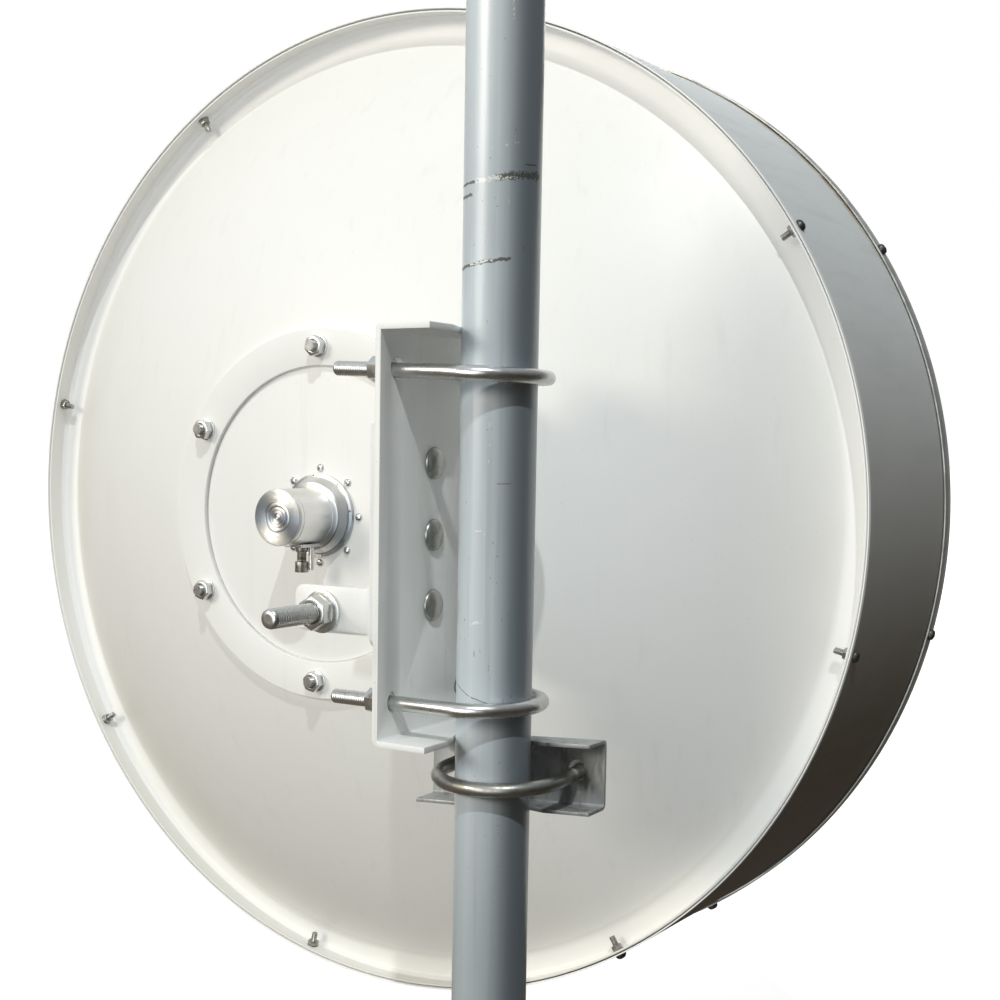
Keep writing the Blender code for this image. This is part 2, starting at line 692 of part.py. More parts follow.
def u_bolts():
    """Two U-bolts round the pole through the channel, with a nut on each leg."""
    bend = U_BOLT_SPACING / 2
    touch = -DISH_X + POLE_RADIUS + GAP + M12_RADIUS
    bow = arc((touch - bend, U_BOLT_NEAR_Y + bend), bend, -90, 90, 20)
    nut = u_bolt_nut()
    for row, (height, slope, _) in U_BOLT_ROWS.items():

        def place(x, y):
            """World place on the plane of this U-bolt."""
            return on_dish(x, y, height + slope * (x - U_BOLT_WEB_X))

        path = [(U_BOLT_END_X, bow[0][1]), *bow, (U_BOLT_END_X, bow[-1][1])]
        bent_rod(f"{row}_u_bolt", [place(x, y) for x, y in path], "zinc")
        # A washer that is aslant leans on the web with one side
        lean = M12_WASHER_RADIUS * abs(slope)
        seat = CHANNEL_FACE_X - CHANNEL_SHEET - GAP - lean
        for side, y in (("near", U_BOLT_NEAR_Y), ("far", U_BOLT_NEAR_Y + U_BOLT_SPACING)):
            place_copy(f"{row}_{side}_nut", nut, place(seat, y), (-1, 0, -slope))


def clamp_channel():
    """Galvanised channel behind the pole, with a V notch in each flange."""
    bend, sheet = CLAMP_BEND, CLAMP_SHEET
    inner = bend - sheet
    top, bottom, lip = CLAMP_TOP_Z, CLAMP_BOTTOM_Z, CLAMP_NEAR_Y
    web_back = CLAMP_WEB_Y + sheet
    section = [(lip, top), *arc((web_back - bend, top - bend), bend, 90, 0, 5)]
    section += [*arc((web_back - bend, bottom + bend), bend, 0, -90, 5), (lip, bottom), (lip, bottom + sheet)]
    section += [*arc((CLAMP_WEB_Y - inner, bottom + bend), inner, -90, 0, 4)]
    section += [*arc((CLAMP_WEB_Y - inner, top - bend), inner, 0, 90, 4), (lip, top - sheet)]
    drop = CLAMP_SLOPE * (CLAMP_LEFT_X + DISH_X)
    length = CLAMP_RIGHT_X - CLAMP_LEFT_X
    body = prism(
        section,
        lambda u, v: on_dish(CLAMP_LEFT_X, u, v + drop),
        Vector((length, 0, CLAMP_SLOPE * length)),
    )
    channel = add_object("clamp_channel", body, "galvanised")
    clear = 0.01
    vertex = -DISH_Y + (POLE_RADIUS + GAP) / math.sin(math.radians(NOTCH_HALF_ANGLE))
    notch = prism(
        notch_outline(vertex - lip + clear),
        lambda u, v: on_dish(-DISH_X + v, vertex - u, bottom - clear),
        Vector((0, 0, top - bottom + 2 * clear)),
    )
    boolean(channel, cutter("clamp_notch", notch), "DIFFERENCE")
    for side, x in zip(("left", "right"), CLAMP_LEGS_X):
        centre = on_dish(x, web_back - sheet / 2, CLAMP_HOLE_Z)
        drill(channel, f"clamp_{side}_hole", centre, (0, 1, 0), U_BOLT_HOLE_RADIUS, 0.012)


def clamp_u_bolt():
    """U-bolt that holds the clamp channel on the pole, with a nut on each leg."""
    left, right = CLAMP_LEGS_X
    bend_radius = (right - left) / 2
    middle = (left + right) / 2
    # The bow's inner side touches the pole a little to one side of its middle
    reach = bend_radius - M12_RADIUS - POLE_RADIUS - GAP
    centre_y = -DISH_Y + math.sqrt(reach**2 - (middle + DISH_X) ** 2)
    bow = arc((middle, centre_y), bend_radius, 180, 360, 20)
    web_back = CLAMP_WEB_Y + CLAMP_SHEET
    leg_end = web_back + 0.028
    path = [(left, leg_end), *bow, (right, leg_end)]
    slope = CLAMP_U_BOLT_SLOPE

    def place(x, y):
        """World place on the aslant plane of the U-bolt."""
        return on_dish(x, y, CLAMP_U_BOLT_Z + slope * (y - CLAMP_WEB_Y))

    bent_rod("clamp_u_bolt", [place(x, y) for x, y in path], "zinc")
    nut = u_bolt_nut()
    seat = web_back + GAP + M12_WASHER_RADIUS * slope
    for side, x in zip(("left", "right"), CLAMP_LEGS_X):
        place_copy(f"clamp_{side}_nut", nut, place(x, seat), (0, 1, slope))


def strut_stud():
    """Threaded stud in the bracket's tab, with its washer and nuts."""
    edge = 0.0015
    rod = [
        (0, STUD_FRONT_Y),
        (M16_RADIUS - edge, STUD_FRONT_Y),
        (M16_RADIUS, STUD_FRONT_Y - edge),
        (M16_RADIUS, STUD_BACK_Y + edge),
        (M16_RADIUS - edge, STUD_BACK_Y),
        (0, STUD_BACK_Y),
    ]
    axis = on_dish(STUD_X, 0, STUD_Z)
    add_object("strut_stud", turned(rod, axis, (0, 1, 0), 36), "zinc")
    bore = M16_RADIUS + GAP
    washer_thickness = 0.003
    washer_front = TAB_FRONT_Y - GAP
    washer_back = washer_front - washer_thickness
    washer = [(bore, washer_front), (0.017, washer_front), (0.017, washer_back), (bore, washer_back)]
    add_object("stud_washer", turned(washer, axis, (0, 1, 0), 36), "zinc")
    nut = nut_mesh("stud_nut_mesh", M16_NUT_FLATS, M16_NUT_HEIGHT, bore, "zinc", 30)
    first = washer_back - GAP
    place_copy("stud_nut", nut, on_dish(STUD_X, first, STUD_Z), (0, -1, 0))
    behind = TAB_FRONT_Y + BRACKET_SHEET + GAP
    place_copy("stud_back_nut", nut, on_dish(STUD_X, behind, STUD_Z), (0, 1, 0))


def main():
    for obj in list(bpy.data.objects):
        bpy.data.objects.remove(obj)
    pole()
    reflector()
    hub()
    hub_bolts()
    shroud()
    radome()
    feed()
    connector()
    mount_channel()
    dish_bracket()
    carriage_bolts()
    u_bolts()
    clamp_channel()
    clamp_u_bolt()
    strut_stud()


if __name__ == "__main__":
    main()
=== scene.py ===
"""A shrouded microwave dish antenna on its pole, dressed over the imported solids.

Lengths are metres. +Z is up and +Y is the way the dish looks. Places on the antenna are given in
the dish's own axes, with the origin on the dish axis at the back edge of the reflector's lip.
"""

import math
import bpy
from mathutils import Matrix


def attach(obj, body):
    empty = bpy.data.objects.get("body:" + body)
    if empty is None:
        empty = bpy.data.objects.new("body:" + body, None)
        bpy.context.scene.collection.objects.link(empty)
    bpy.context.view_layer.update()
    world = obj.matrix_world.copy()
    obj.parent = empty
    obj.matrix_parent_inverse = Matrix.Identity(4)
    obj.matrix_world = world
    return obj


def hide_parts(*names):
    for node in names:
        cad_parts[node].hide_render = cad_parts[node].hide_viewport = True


bl_info = {
    "name": "Microwave dish antenna",
    "version": (1, 0, 0),
    "blender": (4, 5, 0),
    "location": "3D View > Sidebar > Dish antenna",
    "description": "Builds the detailed pieces and finishes of a pole mounted dish antenna",
    "category": "Object",
}

import bmesh
import bpy
from bpy.props import FloatProperty, FloatVectorProperty, IntProperty, PointerProperty
from mathutils import Matrix, Vector

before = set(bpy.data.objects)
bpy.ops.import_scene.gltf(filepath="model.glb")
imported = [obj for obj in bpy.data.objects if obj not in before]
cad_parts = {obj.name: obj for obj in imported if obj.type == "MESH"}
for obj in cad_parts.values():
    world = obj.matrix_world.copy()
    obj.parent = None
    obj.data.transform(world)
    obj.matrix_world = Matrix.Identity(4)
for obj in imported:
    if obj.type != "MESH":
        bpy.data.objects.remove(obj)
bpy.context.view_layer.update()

GAP = 0.0003
DISH = Vector((-0.267, 0.244, 0.70))

# Pole
POLE_RADIUS = 0.03015
POLE_WALL = 0.004
POLE_HEIGHT = 1.32

# Reflector and hub
LIP_RADIUS = 0.4874
LIP_DEPTH = 0.022
SHEET = 0.002
BOWL_RADIUS = 0.4649
BOWL_BACK = -0.1172
FLAT_RADIUS = 0.178
HUB_OUTER_RADIUS = 0.1745
HUB_INNER_RADIUS = 0.140
HUB_BACK = -0.1235
HUB_PLATE_BACK = -0.1195
HUB_BOLT_CIRCLE = 0.1576
HUB_BOLTS = 6
HUB_SEAM = 0.0012

# Shroud, radome and band
SHROUD_REAR_RADIUS = 0.490
SHROUD_FRONT_RADIUS = 0.4962
SHROUD_SHEET = 0.0012
SHROUD_REAR_Y = -0.001
FRONT_Y = 0.2376
BAND_WIDTH = 0.019
BAND_SHEET = 0.0015
BAND_RADIUS = 0.4986
RADOME_THICKNESS = 0.003

# Feed
FEED_FLANGE_RADIUS = 0.0395
FEED_FLANGE_THICKNESS = 0.0042
COLLAR_BACK_RADIUS = 0.0305
COLLAR_FRONT_RADIUS = 0.036
COLLAR_LENGTH = 0.0105
HOUSING_RADIUS = 0.026
FEED_END_Y = -0.1845
END_CAP_LENGTH = 0.0074
CONNECTOR_Y = -0.148
CONNECTOR_END_Z = -0.052
CONNECTOR_PLATE = (0.022, 0.026, 0.003)

# Channel on the pole and the bracket bolted to it
NOTCH_HALF_ANGLE = 70.25
CHANNEL_FACE_X = 0.2045
CHANNEL_SHEET = 0.005
CHANNEL_NEAR_Y = -0.3155
CHANNEL_FAR_Y = -0.1725
CHANNEL_TOP_Z = 0.160
CHANNEL_BOTTOM_Z = -0.166
CHANNEL_TOP_BEND = 0.0045
CHANNEL_BOTTOM_BEND = 0.007
CHANNEL_FLANGE_END_X = 0.2485
BRACKET_SHEET = 0.005
BRACKET_FACE_X = CHANNEL_FACE_X - CHANNEL_SHEET - GAP
BRACKET_NEAR_Y = -0.3146
BRACKET_TOP_Z = 0.150
FOOT_END_X = 0.108
FOOT_HALF_HEIGHT = 0.118
TAB_END_X = 0.1245
TAB_FRONT_Y = -0.3155
TAB_BOTTOM_Z = -0.080
TAB_TOP_Z = -0.043

# Fixings: nuts as (size across the flats, height), washers and the domed head as (radius, thickness)
M10_RADIUS = 0.005
M12_RADIUS = 0.0059
M16_RADIUS = 0.008
M6_NUT = (0.010, 0.005)
M10_NUT = (0.017, 0.0084)
M10_THIN_NUT = (0.017, 0.0074)
M12_NUT = (0.018, 0.0108)
M16_NUT = (0.024, 0.013)
M6_WASHER = (0.006, 0.0014)
M10_WASHER = (0.0102, 0.0018)
CARRIAGE_WASHER = (0.0105, 0.0018)
M12_WASHER = (0.012, 0.0025)
SPRING_WASHER = (0.0103, 0.003)
M16_WASHER = (0.017, 0.003)
M6_PITCH = 0.001
M10_PITCH = 0.0015
M12_PITCH = 0.00175
M16_PITCH = 0.002
CARRIAGE_HEAD = (0.013, 0.0055)
U_BOLT_SPACING = 0.101
U_BOLT_HOLE_RADIUS = 0.0086
U_BOLT_NEAR_Y = -0.2945
U_BOLT_HOLE_Y = -0.2930
U_BOLT_END_X = 0.1475
U_BOLT_WEB_X = 0.202
U_BOLT_ROWS = {"upper": (0.1254, -0.0358, 0.1271), "lower": (-0.1336, 0.0, -0.1331)}
CARRIAGE_BOLT_Y = -0.239
CARRIAGE_BOLT_Z = (0.054, -0.004, -0.061)
STUD_X = 0.1521
STUD_Z = -0.0634
STUD_BACK_Y = -0.384
STUD_FRONT_Y = -0.292

# Clamp lower down on the pole
CLAMP_WEB_Y = -0.1975
CLAMP_SHEET = 0.003
CLAMP_NEAR_Y = -0.2243
CLAMP_LEFT_X = 0.181
CLAMP_RIGHT_X = 0.3435
CLAMP_TOP_Z = -0.1675
CLAMP_BOTTOM_Z = -0.2247
CLAMP_BEND = 0.005
CLAMP_SLOPE = 0.060
CLAMP_U_BOLT_Z = -0.1927
CLAMP_U_BOLT_SLOPE = 0.048
CLAMP_LEGS_X = (0.2155, 0.3185)
CLAMP_HOLE_Z = -0.1907

# Edges that turn by more than this many degrees are shaded sharp
SMOOTH_ANGLE = 32.0

# Angle above +X of the sheen painted as reflection across the feed's turned faces, and spacing of their
# turned rings
PAINTED_SHEEN_ANGLE = math.radians(72)
RING_SPACING = 0.0011

# Stage: the camera has its place on the dish's axes and its angles in radians
CAMERA_PLACE = (0.87279, -1.26876, 0.07144)
CAMERA_YAW = 0.5310
CAMERA_PITCH = 0.0999
CAMERA_ROLL = -0.0176
CAMERA_LENS = 54.64
CAMERA_SHIFT_Y = 0.0945
FLOOR_RADIUS = 60

# Studio lights: energy, width, azimuth to the right of straight behind, height, in degrees, and colour
WARM_LIGHT = (1.0, 0.925, 0.80)
COOL_LIGHT = (0.94, 0.985, 1.0)
LIGHTS = {
    "key_light": (1.12, 18, -30, 20, WARM_LIGHT),
    "fill_light": (1.1, 40, 5, 4, COOL_LIGHT),
    "side_light": (0.75, 30, -38, 14, COOL_LIGHT),
    "top_light": (1.14, 1, 31, 53, COOL_LIGHT),
    "front_light": (0.8, 40, 205, 12, COOL_LIGHT),
}

# Light from all round, as (share of the way from straight down to straight up, colour)
SKY_COLOURS = (
    (0.0, (0.12, 0.10, 0.075)),
    (0.45, (0.08, 0.068, 0.055)),
    (0.55, (0.13, 0.133, 0.135)),
    (1.0, (0.54, 0.565, 0.58)),
)


def colour_prop(name, colour, description):
    """A colour that the user can change."""
    return FloatVectorProperty(
        name=name, description=description, default=colour, min=0.0, max=1.0, size=3, subtype="COLOR"
    )


def length_prop(name, length, description):
    """A length that the user can change."""
    return FloatProperty(
        name=name, description=description, default=length, min=0.0, unit="LENGTH", precision=5
    )


def count_prop(name, count, description, least, most):
    """A count that the user can change."""
    return IntProperty(name=name, description=description, default=count, min=least, max=most)


class DishColours(bpy.types.PropertyGroup):
    """Colours of the antenna's finishes."""

    white_paint: colour_prop("White paint", (0.85, 0.845, 0.82), "Paint of the reflector and the hub")
    mount_paint: colour_prop("Mount paint", (0.87, 0.87, 0.845), "Paint of the channel and the bracket")
    pole_paint: colour_prop("Pole paint", (0.60, 0.675, 0.72), "Gloss paint of the pole")
    shroud_paint: colour_prop("Shroud paint", (0.84, 0.86, 0.845), "Paint of the drum round the reflector")
    radome_sheet: colour_prop("Radome sheet", (0.62, 0.63, 0.62), "Sheet of the front cover")
    band_metal: colour_prop("Front band", (0.60, 0.60, 0.57), "Metal of the band round the front cover")
    aluminium: colour_prop("Feed aluminium", (0.73, 0.73, 0.72), "Turned aluminium of the feed")
    zinc: colour_prop("Zinc plate", (0.66, 0.665, 0.655), "Plating of bolts, nuts and washers")
    galvanised: colour_prop("Galvanised steel", (0.46, 0.475, 0.475), "Dull coat of the lower clamp")
    brass: colour_prop("Connector", (0.42, 0.40, 0.36), "Tarnished metal of the coaxial connector")
    floor: colour_prop("Floor", (0.90, 0.90, 0.89), "Plain floor that the pole stands on")


class DishSizes(bpy.types.PropertyGroup):
    """Sizes of the details that the solids leave out."""

    round_steps: count_prop("Steps round the dish", 256, "Faces round the dish axis", 48, 512)
    edge: length_prop("Edge radius", 0.0005, "Radius on the edges of sheet and plate")
    m6_radius: length_prop("Rim screw radius", 0.003, "Radius of the screws round the rim")
    rim_screws: count_prop("Rim screws", 8, "Screws round the rim", 0, 48)
    rim_screw_y: length_prop("Rim screw depth", 0.0115, "Distance of the rim screws from the lip's edge")
    rim_angle: FloatProperty(
        name="First rim screw",
        description="Angle of the first rim screw above the right-hand side",
        default=math.radians(32.3),
        subtype="ANGLE",
    )
    feed_screws: count_prop("Feed screws", 8, "Screws round the feed", 0, 24)
    feed_screw_circle: length_prop("Feed screw circle", 0.0447, "Radius of the circle of the feed's screws")
    thread_depth: length_prop("Thread depth", 0.00036, "Depth of the thread on the U-bolts and the stud")


def colours():
    """The colours as the panel has them."""
    return bpy.context.scene.dish_colours


def sizes():
    """The sizes as the panel has them."""
    return bpy.context.scene.dish_sizes


def on_dish(x, y, z):
    """World place of a point given in the dish's own axes."""
    return Vector((x, y, z)) + DISH


# Materials


class Nodes:
    """A node tree that is put together step by step."""

    def __init__(self, tree):
        self.tree = tree

    def node(self, kind, inputs=(), **settings):
        """A new node, with its settings and its inputs filled in."""
        made = self.tree.nodes.new(kind)
        for name, value in settings.items():
            setattr(made, name, value)
        for name, value in dict(inputs).items():
            self.feed(made.inputs[name], value)
        return made

    def feed(self, socket, value):
        """Links an output to the socket, or writes a plain value in it."""
        if isinstance(value, bpy.types.NodeSocket):
            self.tree.links.new(value, socket)
        else:
            socket.default_value = value

    def maths(self, operation, first, second=0.0, third=0.0):
        """Result of a sum on plain values."""
        made = self.node("ShaderNodeMath", {0: first, 1: second, 2: third}, operation=operation)
        return made.outputs[0]

    def split(self, vector):
        """The three parts of a vector."""
        return self.node("ShaderNodeSeparateXYZ", {0: vector}).outputs

    def step(self, value, start, end, low=0.0, high=1.0, kind="SMOOTHSTEP"):
        """Runs from low to high while the value goes from start to end."""
        inputs = {"Value": value, "From Min": start, "From Max": end, "To Min": low, "To Max": high}
        return self.node("ShaderNodeMapRange", inputs, interpolation_type=kind).outputs[0]


class Recipe(Nodes):
    """A procedural material that is put together step by step."""

    def __init__(self, name, colour, roughness, metallic=0.0):
        self.material = bpy.data.materials.new(name + "_finish")
        self.material.use_nodes = True
        self.material.diffuse_color = (*colour, 1.0)
        super().__init__(self.material.node_tree)
        self.shader = self.tree.nodes["Principled BSDF"]
        self.shader.inputs["Metallic"].default_value = metallic
        self.colour = (*colour, 1.0)
        self.roughness = roughness
        self.normal = None
        self.object = self.node("ShaderNodeTexCoord").outputs["Object"]

    def place(self, scale=(1, 1, 1), centre=(0, 0, 0), turn=(0, 0, 0)):
        """Object coordinates about a centre, then turned and scaled."""
        moved = self.node("ShaderNodeMapping", {"Vector": self.object, "Location": [-c for c in centre]})
        made = self.node("ShaderNodeMapping", {"Vector": moved.outputs[0], "Rotation": turn, "Scale": scale})
        return made.outputs[0]

    def noise(self, size, stretch=(1, 1, 1), detail=3.0, rough=0.55, centre=(0, 0, 0), twist=0.0):
        """Clouds of about this size, drawn out along an axis where stretch is over 1."""
        where = self.place([1 / (size * s) for s in stretch], centre)
        inputs = {"Vector": where, "Scale": 1.0, "Detail": detail, "Roughness": rough, "Distortion": twist}
        return self.node("ShaderNodeTexNoise", inputs).outputs["Fac"]

    def tint(self, share, colour):
        """Mixes a colour into the finish where the share says."""
        inputs = {0: share, 6: self.colour, 7: (*colour, 1.0)}
        self.colour = self.node("ShaderNodeMix", inputs, data_type="RGBA").outputs[2]

    def patches(self, size, rise, share, colour, stretch=(1, 1, 1), **noise):
        """Tints patches of about this size up to the share, from where their noise starts to rise."""
        clouds = self.noise(size, stretch, **noise)
        self.tint(self.step(clouds, *rise, 0.0, share), colour)
        return clouds

    def rougher(self, share, roughness):
        """Goes to another roughness where the share says."""
        gap = self.maths("SUBTRACT", roughness, self.roughness)
        self.roughness = self.maths("MULTIPLY_ADD", share, gap, self.roughness)

    def relief(self, height, distance):
        """Raises the surface by the height times the distance."""
        inputs = {"Height": height, "Strength": 1.0, "Distance": distance}
        if self.normal:
            inputs["Normal"] = self.normal
        self.normal = self.node("ShaderNodeBump", inputs).outputs[0]

    def done(self):
        """Joins the colour, roughness and relief to the shader."""
        self.feed(self.shader.inputs["Base Color"], self.colour)
        self.feed(self.shader.inputs["Roughness"], self.roughness)
        if self.normal:
            self.feed(self.shader.inputs["Normal"], self.normal)
        return self.material


def material(name):
    """The named finish, made when it is first asked for."""
    return bpy.data.materials.get(name + "_finish") or FINISHES[name]()


def dish_radius(recipe):
    """Distance from the dish axis, in metres."""
    x, _, z = recipe.split(recipe.place(centre=DISH))
    squares = recipe.maths("ADD", recipe.maths("MULTIPLY", x, x), recipe.maths("MULTIPLY", z, z))
    return recipe.maths("SQRT", squares)


def white_paint():
    """Smooth warm white paint with thin dust, rain streaks, rim dirt weighted to the bottom and left as
    painted shade, a whiter lip as painted light and a darker lower ledge as painted shade.
    """
    recipe = Recipe("white_paint", colours().white_paint, 0.34)
    clouds = recipe.patches(0.35, (0.35, 0.7), 0.35, (0.80, 0.79, 0.73), detail=4)
    recipe.patches(0.012, (0.56, 0.8), 0.16, (0.62, 0.61, 0.56), (1, 1, 26))
    radius = dish_radius(recipe)
    side, _, height = recipe.split(recipe.place(centre=DISH))
    # Painted shade: the rim dirt below is weighted towards the bottom and the left of the bowl
    low = recipe.step(height, 0.42, 0.0, 0.1, 1.0)
    low = recipe.maths("MULTIPLY", low, recipe.step(side, 0.33, 0.0, 0.1, 1.0))
    dirt = recipe.step(clouds, 0.4, 0.62, 0.35, 0.7)
    dirt = recipe.maths("MULTIPLY", recipe.step(radius, 0.36, 0.455), dirt)
    recipe.tint(recipe.maths("MULTIPLY", dirt, low), (0.69, 0.67, 0.61))
    # Painted light: the lip is tinted whiter
    recipe.tint(recipe.step(radius, 0.460, 0.466), (0.89, 0.885, 0.865))
    # Painted shade: the ledge is tinted darker towards the bottom
    ledge = recipe.maths("MULTIPLY", recipe.step(radius, 0.458, 0.462), recipe.step(height, -0.15, -0.4))
    recipe.tint(recipe.maths("MULTIPLY", ledge, 0.5), (0.66, 0.64, 0.58))
    recipe.patches(0.0022, (0.76, 0.8), 0.3, (0.42, 0.40, 0.36), detail=1)
    recipe.rougher(recipe.noise(0.05), 0.5)
    recipe.relief(recipe.noise(0.0011, detail=2), 0.00003)
    recipe.relief(recipe.noise(0.06, detail=2), 0.0005)
    return recipe.done()


def mount_paint():
    """Light grey-white paint of the channel and bracket, worn a little in small dark chips."""
    recipe = Recipe("mount_paint", colours().mount_paint, 0.42)
    recipe.patches(0.09, (0.35, 0.75), 0.3, (0.70, 0.72, 0.71), detail=4)
    recipe.patches(0.006, (0.58, 0.82), 0.22, (0.52, 0.52, 0.48), (1, 1, 20))
    recipe.patches(0.0016, (0.735, 0.76), 0.7, (0.16, 0.15, 0.13), detail=2)
    recipe.rougher(recipe.noise(0.02), 0.56)
    recipe.relief(recipe.noise(0.0014, detail=2), 0.00005)
    return recipe.done()


def scratch(recipe, along, height, start, end, width, ragged):
    """Share of a scratch that runs on the pole from start to end, each (millimetres round, height)."""
    slope = (end[1] - start[1]) / (end[0] - start[0])
    level = recipe.maths("MULTIPLY_ADD", along, slope, start[1] - slope * start[0])
    wobble = recipe.maths("MULTIPLY", recipe.maths("SUBTRACT", ragged, 0.5), width * 2.2)
    away = recipe.maths("ABSOLUTE", recipe.maths("ADD", recipe.maths("SUBTRACT", height, level), wobble))
    inside = recipe.step(away, width * 0.35, width * 0.6, 1.0, 0.0)
    middle, half = (start[0] + end[0]) / 2, abs(end[0] - start[0]) / 2
    reach = recipe.maths("ABSOLUTE", recipe.maths("SUBTRACT", along, middle))
    return recipe.maths("MULTIPLY", inside, recipe.step(reach, half - 1.5, half, 1.0, 0.0))


# Scratches and chips in the pole's paint: start and end as (millimetres round it, height), and width
DARK_SCRATCHES = (
    ((-30.0, 0.9650), (-3.0, 0.9668), 0.0020),
    ((10.0, 0.9688), (52.0, 0.9728), 0.0054),
    ((-29.0, 0.9562), (-9.0, 0.9572), 0.0026),
    ((33.0, 0.9790), (47.0, 0.9800), 0.0012),
    ((-28.0, 0.9028), (24.0, 0.9092), 0.0024),
    ((15.0, 0.7398), (27.5, 0.7400), 0.0006),
    ((-24.0, 0.5830), (-4.0, 0.5740), 0.0008),
    ((-4.0, 0.5742), (14.5, 0.5690), 0.0008),
    ((22.2, 0.5708), (24.2, 0.5736), 0.0038),
    ((29.0, 0.5750), (31.0, 0.5758), 0.0022),
    ((36.5, 0.5700), (38.5, 0.5712), 0.0020),
    ((-1.8, 0.6095), (0.3, 0.6068), 0.0038),
    ((3.6, 0.6118), (5.2, 0.6100), 0.0022),
    ((12.6, 0.6958), (14.4, 0.6938), 0.0022),
    ((20.4, 0.6366), (22.2, 0.6344), 0.0024),
    ((-18.8, 0.6202), (-17.2, 0.6186), 0.0024),
    ((-23.4, 0.7762), (-21.8, 0.7738), 0.0026),
    ((-22.0, 1.0382), (-20.6, 1.0372), 0.0024),
    ((33.0, 0.9180), (35.0, 0.9172), 0.0024),
    ((5.0, 0.8630), (6.6, 0.8618), 0.0020),
    ((-12.0, 0.5210), (-10.2, 0.5192), 0.0030),
    ((26.0, 0.5010), (27.8, 0.4990), 0.0028),
)
BRIGHT_SCRATCHES = (
    ((-8.0, 0.9664), (16.0, 0.9688), 0.0036),
    ((14.0, 0.9680), (28.0, 0.9694), 0.0016),
    ((-12.0, 0.9050), (10.0, 0.9078), 0.0016),
    ((20.8, 1.0920), (23.6, 1.0920), 0.0140),
    ((7.0, 0.9900), (9.4, 0.9900), 0.0026),
    ((17.0, 0.9925), (20.2, 0.9925), 0.0022),
    ((24.0, 0.9942), (29.0, 0.9946), 0.0018),
    ((-5.0, 0.6316), (6.0, 0.6328), 0.0022),
    ((-3.0, 0.7032), (5.0, 0.7034), 0.0008),
)


def pole_paint():
    """Glossy blue-grey paint on the pole, scratched through to dark primer and bright steel, with painted
    shade towards its foot and on its +X side and painted light towards its top.
    """
    recipe = Recipe("pole_paint", colours().pole_paint, 0.27)
    for name, value in (("Specular IOR Level", 0.7), ("Coat Weight", 0.8), ("Coat Roughness", 0.4)):
        recipe.shader.inputs[name].default_value = value
    recipe.patches(0.0035, (0.52, 0.7), 0.45, (0.72, 0.77, 0.79), (1, 1, 90))
    recipe.patches(0.006, (0.54, 0.74), 0.4, (0.40, 0.455, 0.49), (1, 1, 40), centre=(0.3, 0, 0))
    recipe.patches(0.05, (0.4, 0.75), 0.3, (0.44, 0.49, 0.52), (1, 1, 3), detail=4)
    recipe.patches(0.0024, (0.775, 0.79), 0.75, (0.12, 0.13, 0.13), (1, 1, 1.6), detail=1)
    recipe.patches(0.0034, (0.765, 0.79), 0.7, (0.86, 0.88, 0.88), (1, 1, 3), detail=1, centre=(0, 0.2, 0))
    x, y, z = recipe.split(recipe.object)
    # Painted shade: darker towards the foot
    recipe.tint(recipe.step(z, 0.58, 0.34, 0.0, 0.6), (0.30, 0.345, 0.37))
    # Painted light: lighter towards the top
    recipe.tint(recipe.step(z, 0.93, 1.10, 0.0, 0.45), (0.80, 0.86, 0.90))
    # Painted shade: darker on the side towards +X
    painted_shade_side = recipe.maths("MULTIPLY_ADD", y, 0.17, recipe.maths("MULTIPLY", x, 0.985))
    recipe.tint(recipe.step(painted_shade_side, POLE_RADIUS * 0.2, POLE_RADIUS * 0.95, 0.0, 0.8), (0.14, 0.175, 0.205))
    turn = recipe.maths("ARCTAN2", x, recipe.maths("MULTIPLY", y, -1.0))
    along = recipe.maths("MULTIPLY", turn, POLE_RADIUS * 1000)
    ragged = recipe.noise(0.0035, detail=4, rough=0.75)
    dark = bright = 0.0
    for start, end, width in DARK_SCRATCHES:
        dark = recipe.maths("MAXIMUM", dark, scratch(recipe, along, z, start, end, width, ragged))
    for start, end, width in BRIGHT_SCRATCHES:
        bright = recipe.maths("MAXIMUM", bright, scratch(recipe, along, z, start, end, width, ragged))
    gaps = recipe.step(recipe.noise(0.002, detail=3, rough=0.7), 0.32, 0.40)
    dark = recipe.maths("MULTIPLY", dark, gaps)
    bright = recipe.maths("MULTIPLY", bright, recipe.step(recipe.noise(0.0016, detail=2), 0.42, 0.5))
    recipe.tint(recipe.maths("MULTIPLY", dark, 0.9), (0.075, 0.075, 0.055))
    recipe.tint(bright, (0.88, 0.89, 0.86))
    recipe.rougher(recipe.noise(0.012, (1, 1, 4)), 0.4)
    recipe.rougher(dark, 0.7)
    recipe.relief(recipe.noise(0.0016, detail=2), 0.00004)
    recipe.relief(recipe.noise(0.018, (1, 1, 6), detail=2), 0.0003)
    return recipe.done()


def shroud_paint():
    """Grey paint of the drum, darkened towards its underside as painted shade, with a tan edge."""
    recipe = Recipe("shroud_paint", colours().shroud_paint, 0.48)
    _, depth, height = recipe.split(recipe.place(centre=DISH))
    # Painted shade: darker towards the underside
    low = recipe.step(height, 0.30, -0.22)
    recipe.tint(recipe.maths("MULTIPLY", low, 0.93), (0.14, 0.11, 0.075))
    runs = recipe.patches(0.02, (0.45, 0.75), 0.12, (0.30, 0.33, 0.34), (1, 7, 1), detail=4)
    recipe.patches(0.004, (0.6, 0.75), 0.25, (0.44, 0.45, 0.44))
    tan = recipe.maths("MULTIPLY", recipe.step(depth, 0.205, 0.216), recipe.step(height, 0.2, 0.34))
    recipe.tint(recipe.maths("MULTIPLY", tan, recipe.step(runs, 0.35, 0.55, 0.3, 0.8)), (0.47, 0.36, 0.19))
    recipe.tint(recipe.step(depth, 0.004, 0.003), (0.92, 0.92, 0.90))
    recipe.rougher(recipe.noise(0.03), 0.62)
    recipe.relief(recipe.noise(0.09, detail=2), 0.0012)
    recipe.relief(recipe.noise(0.0013, detail=2), 0.00005)
    return recipe.done()


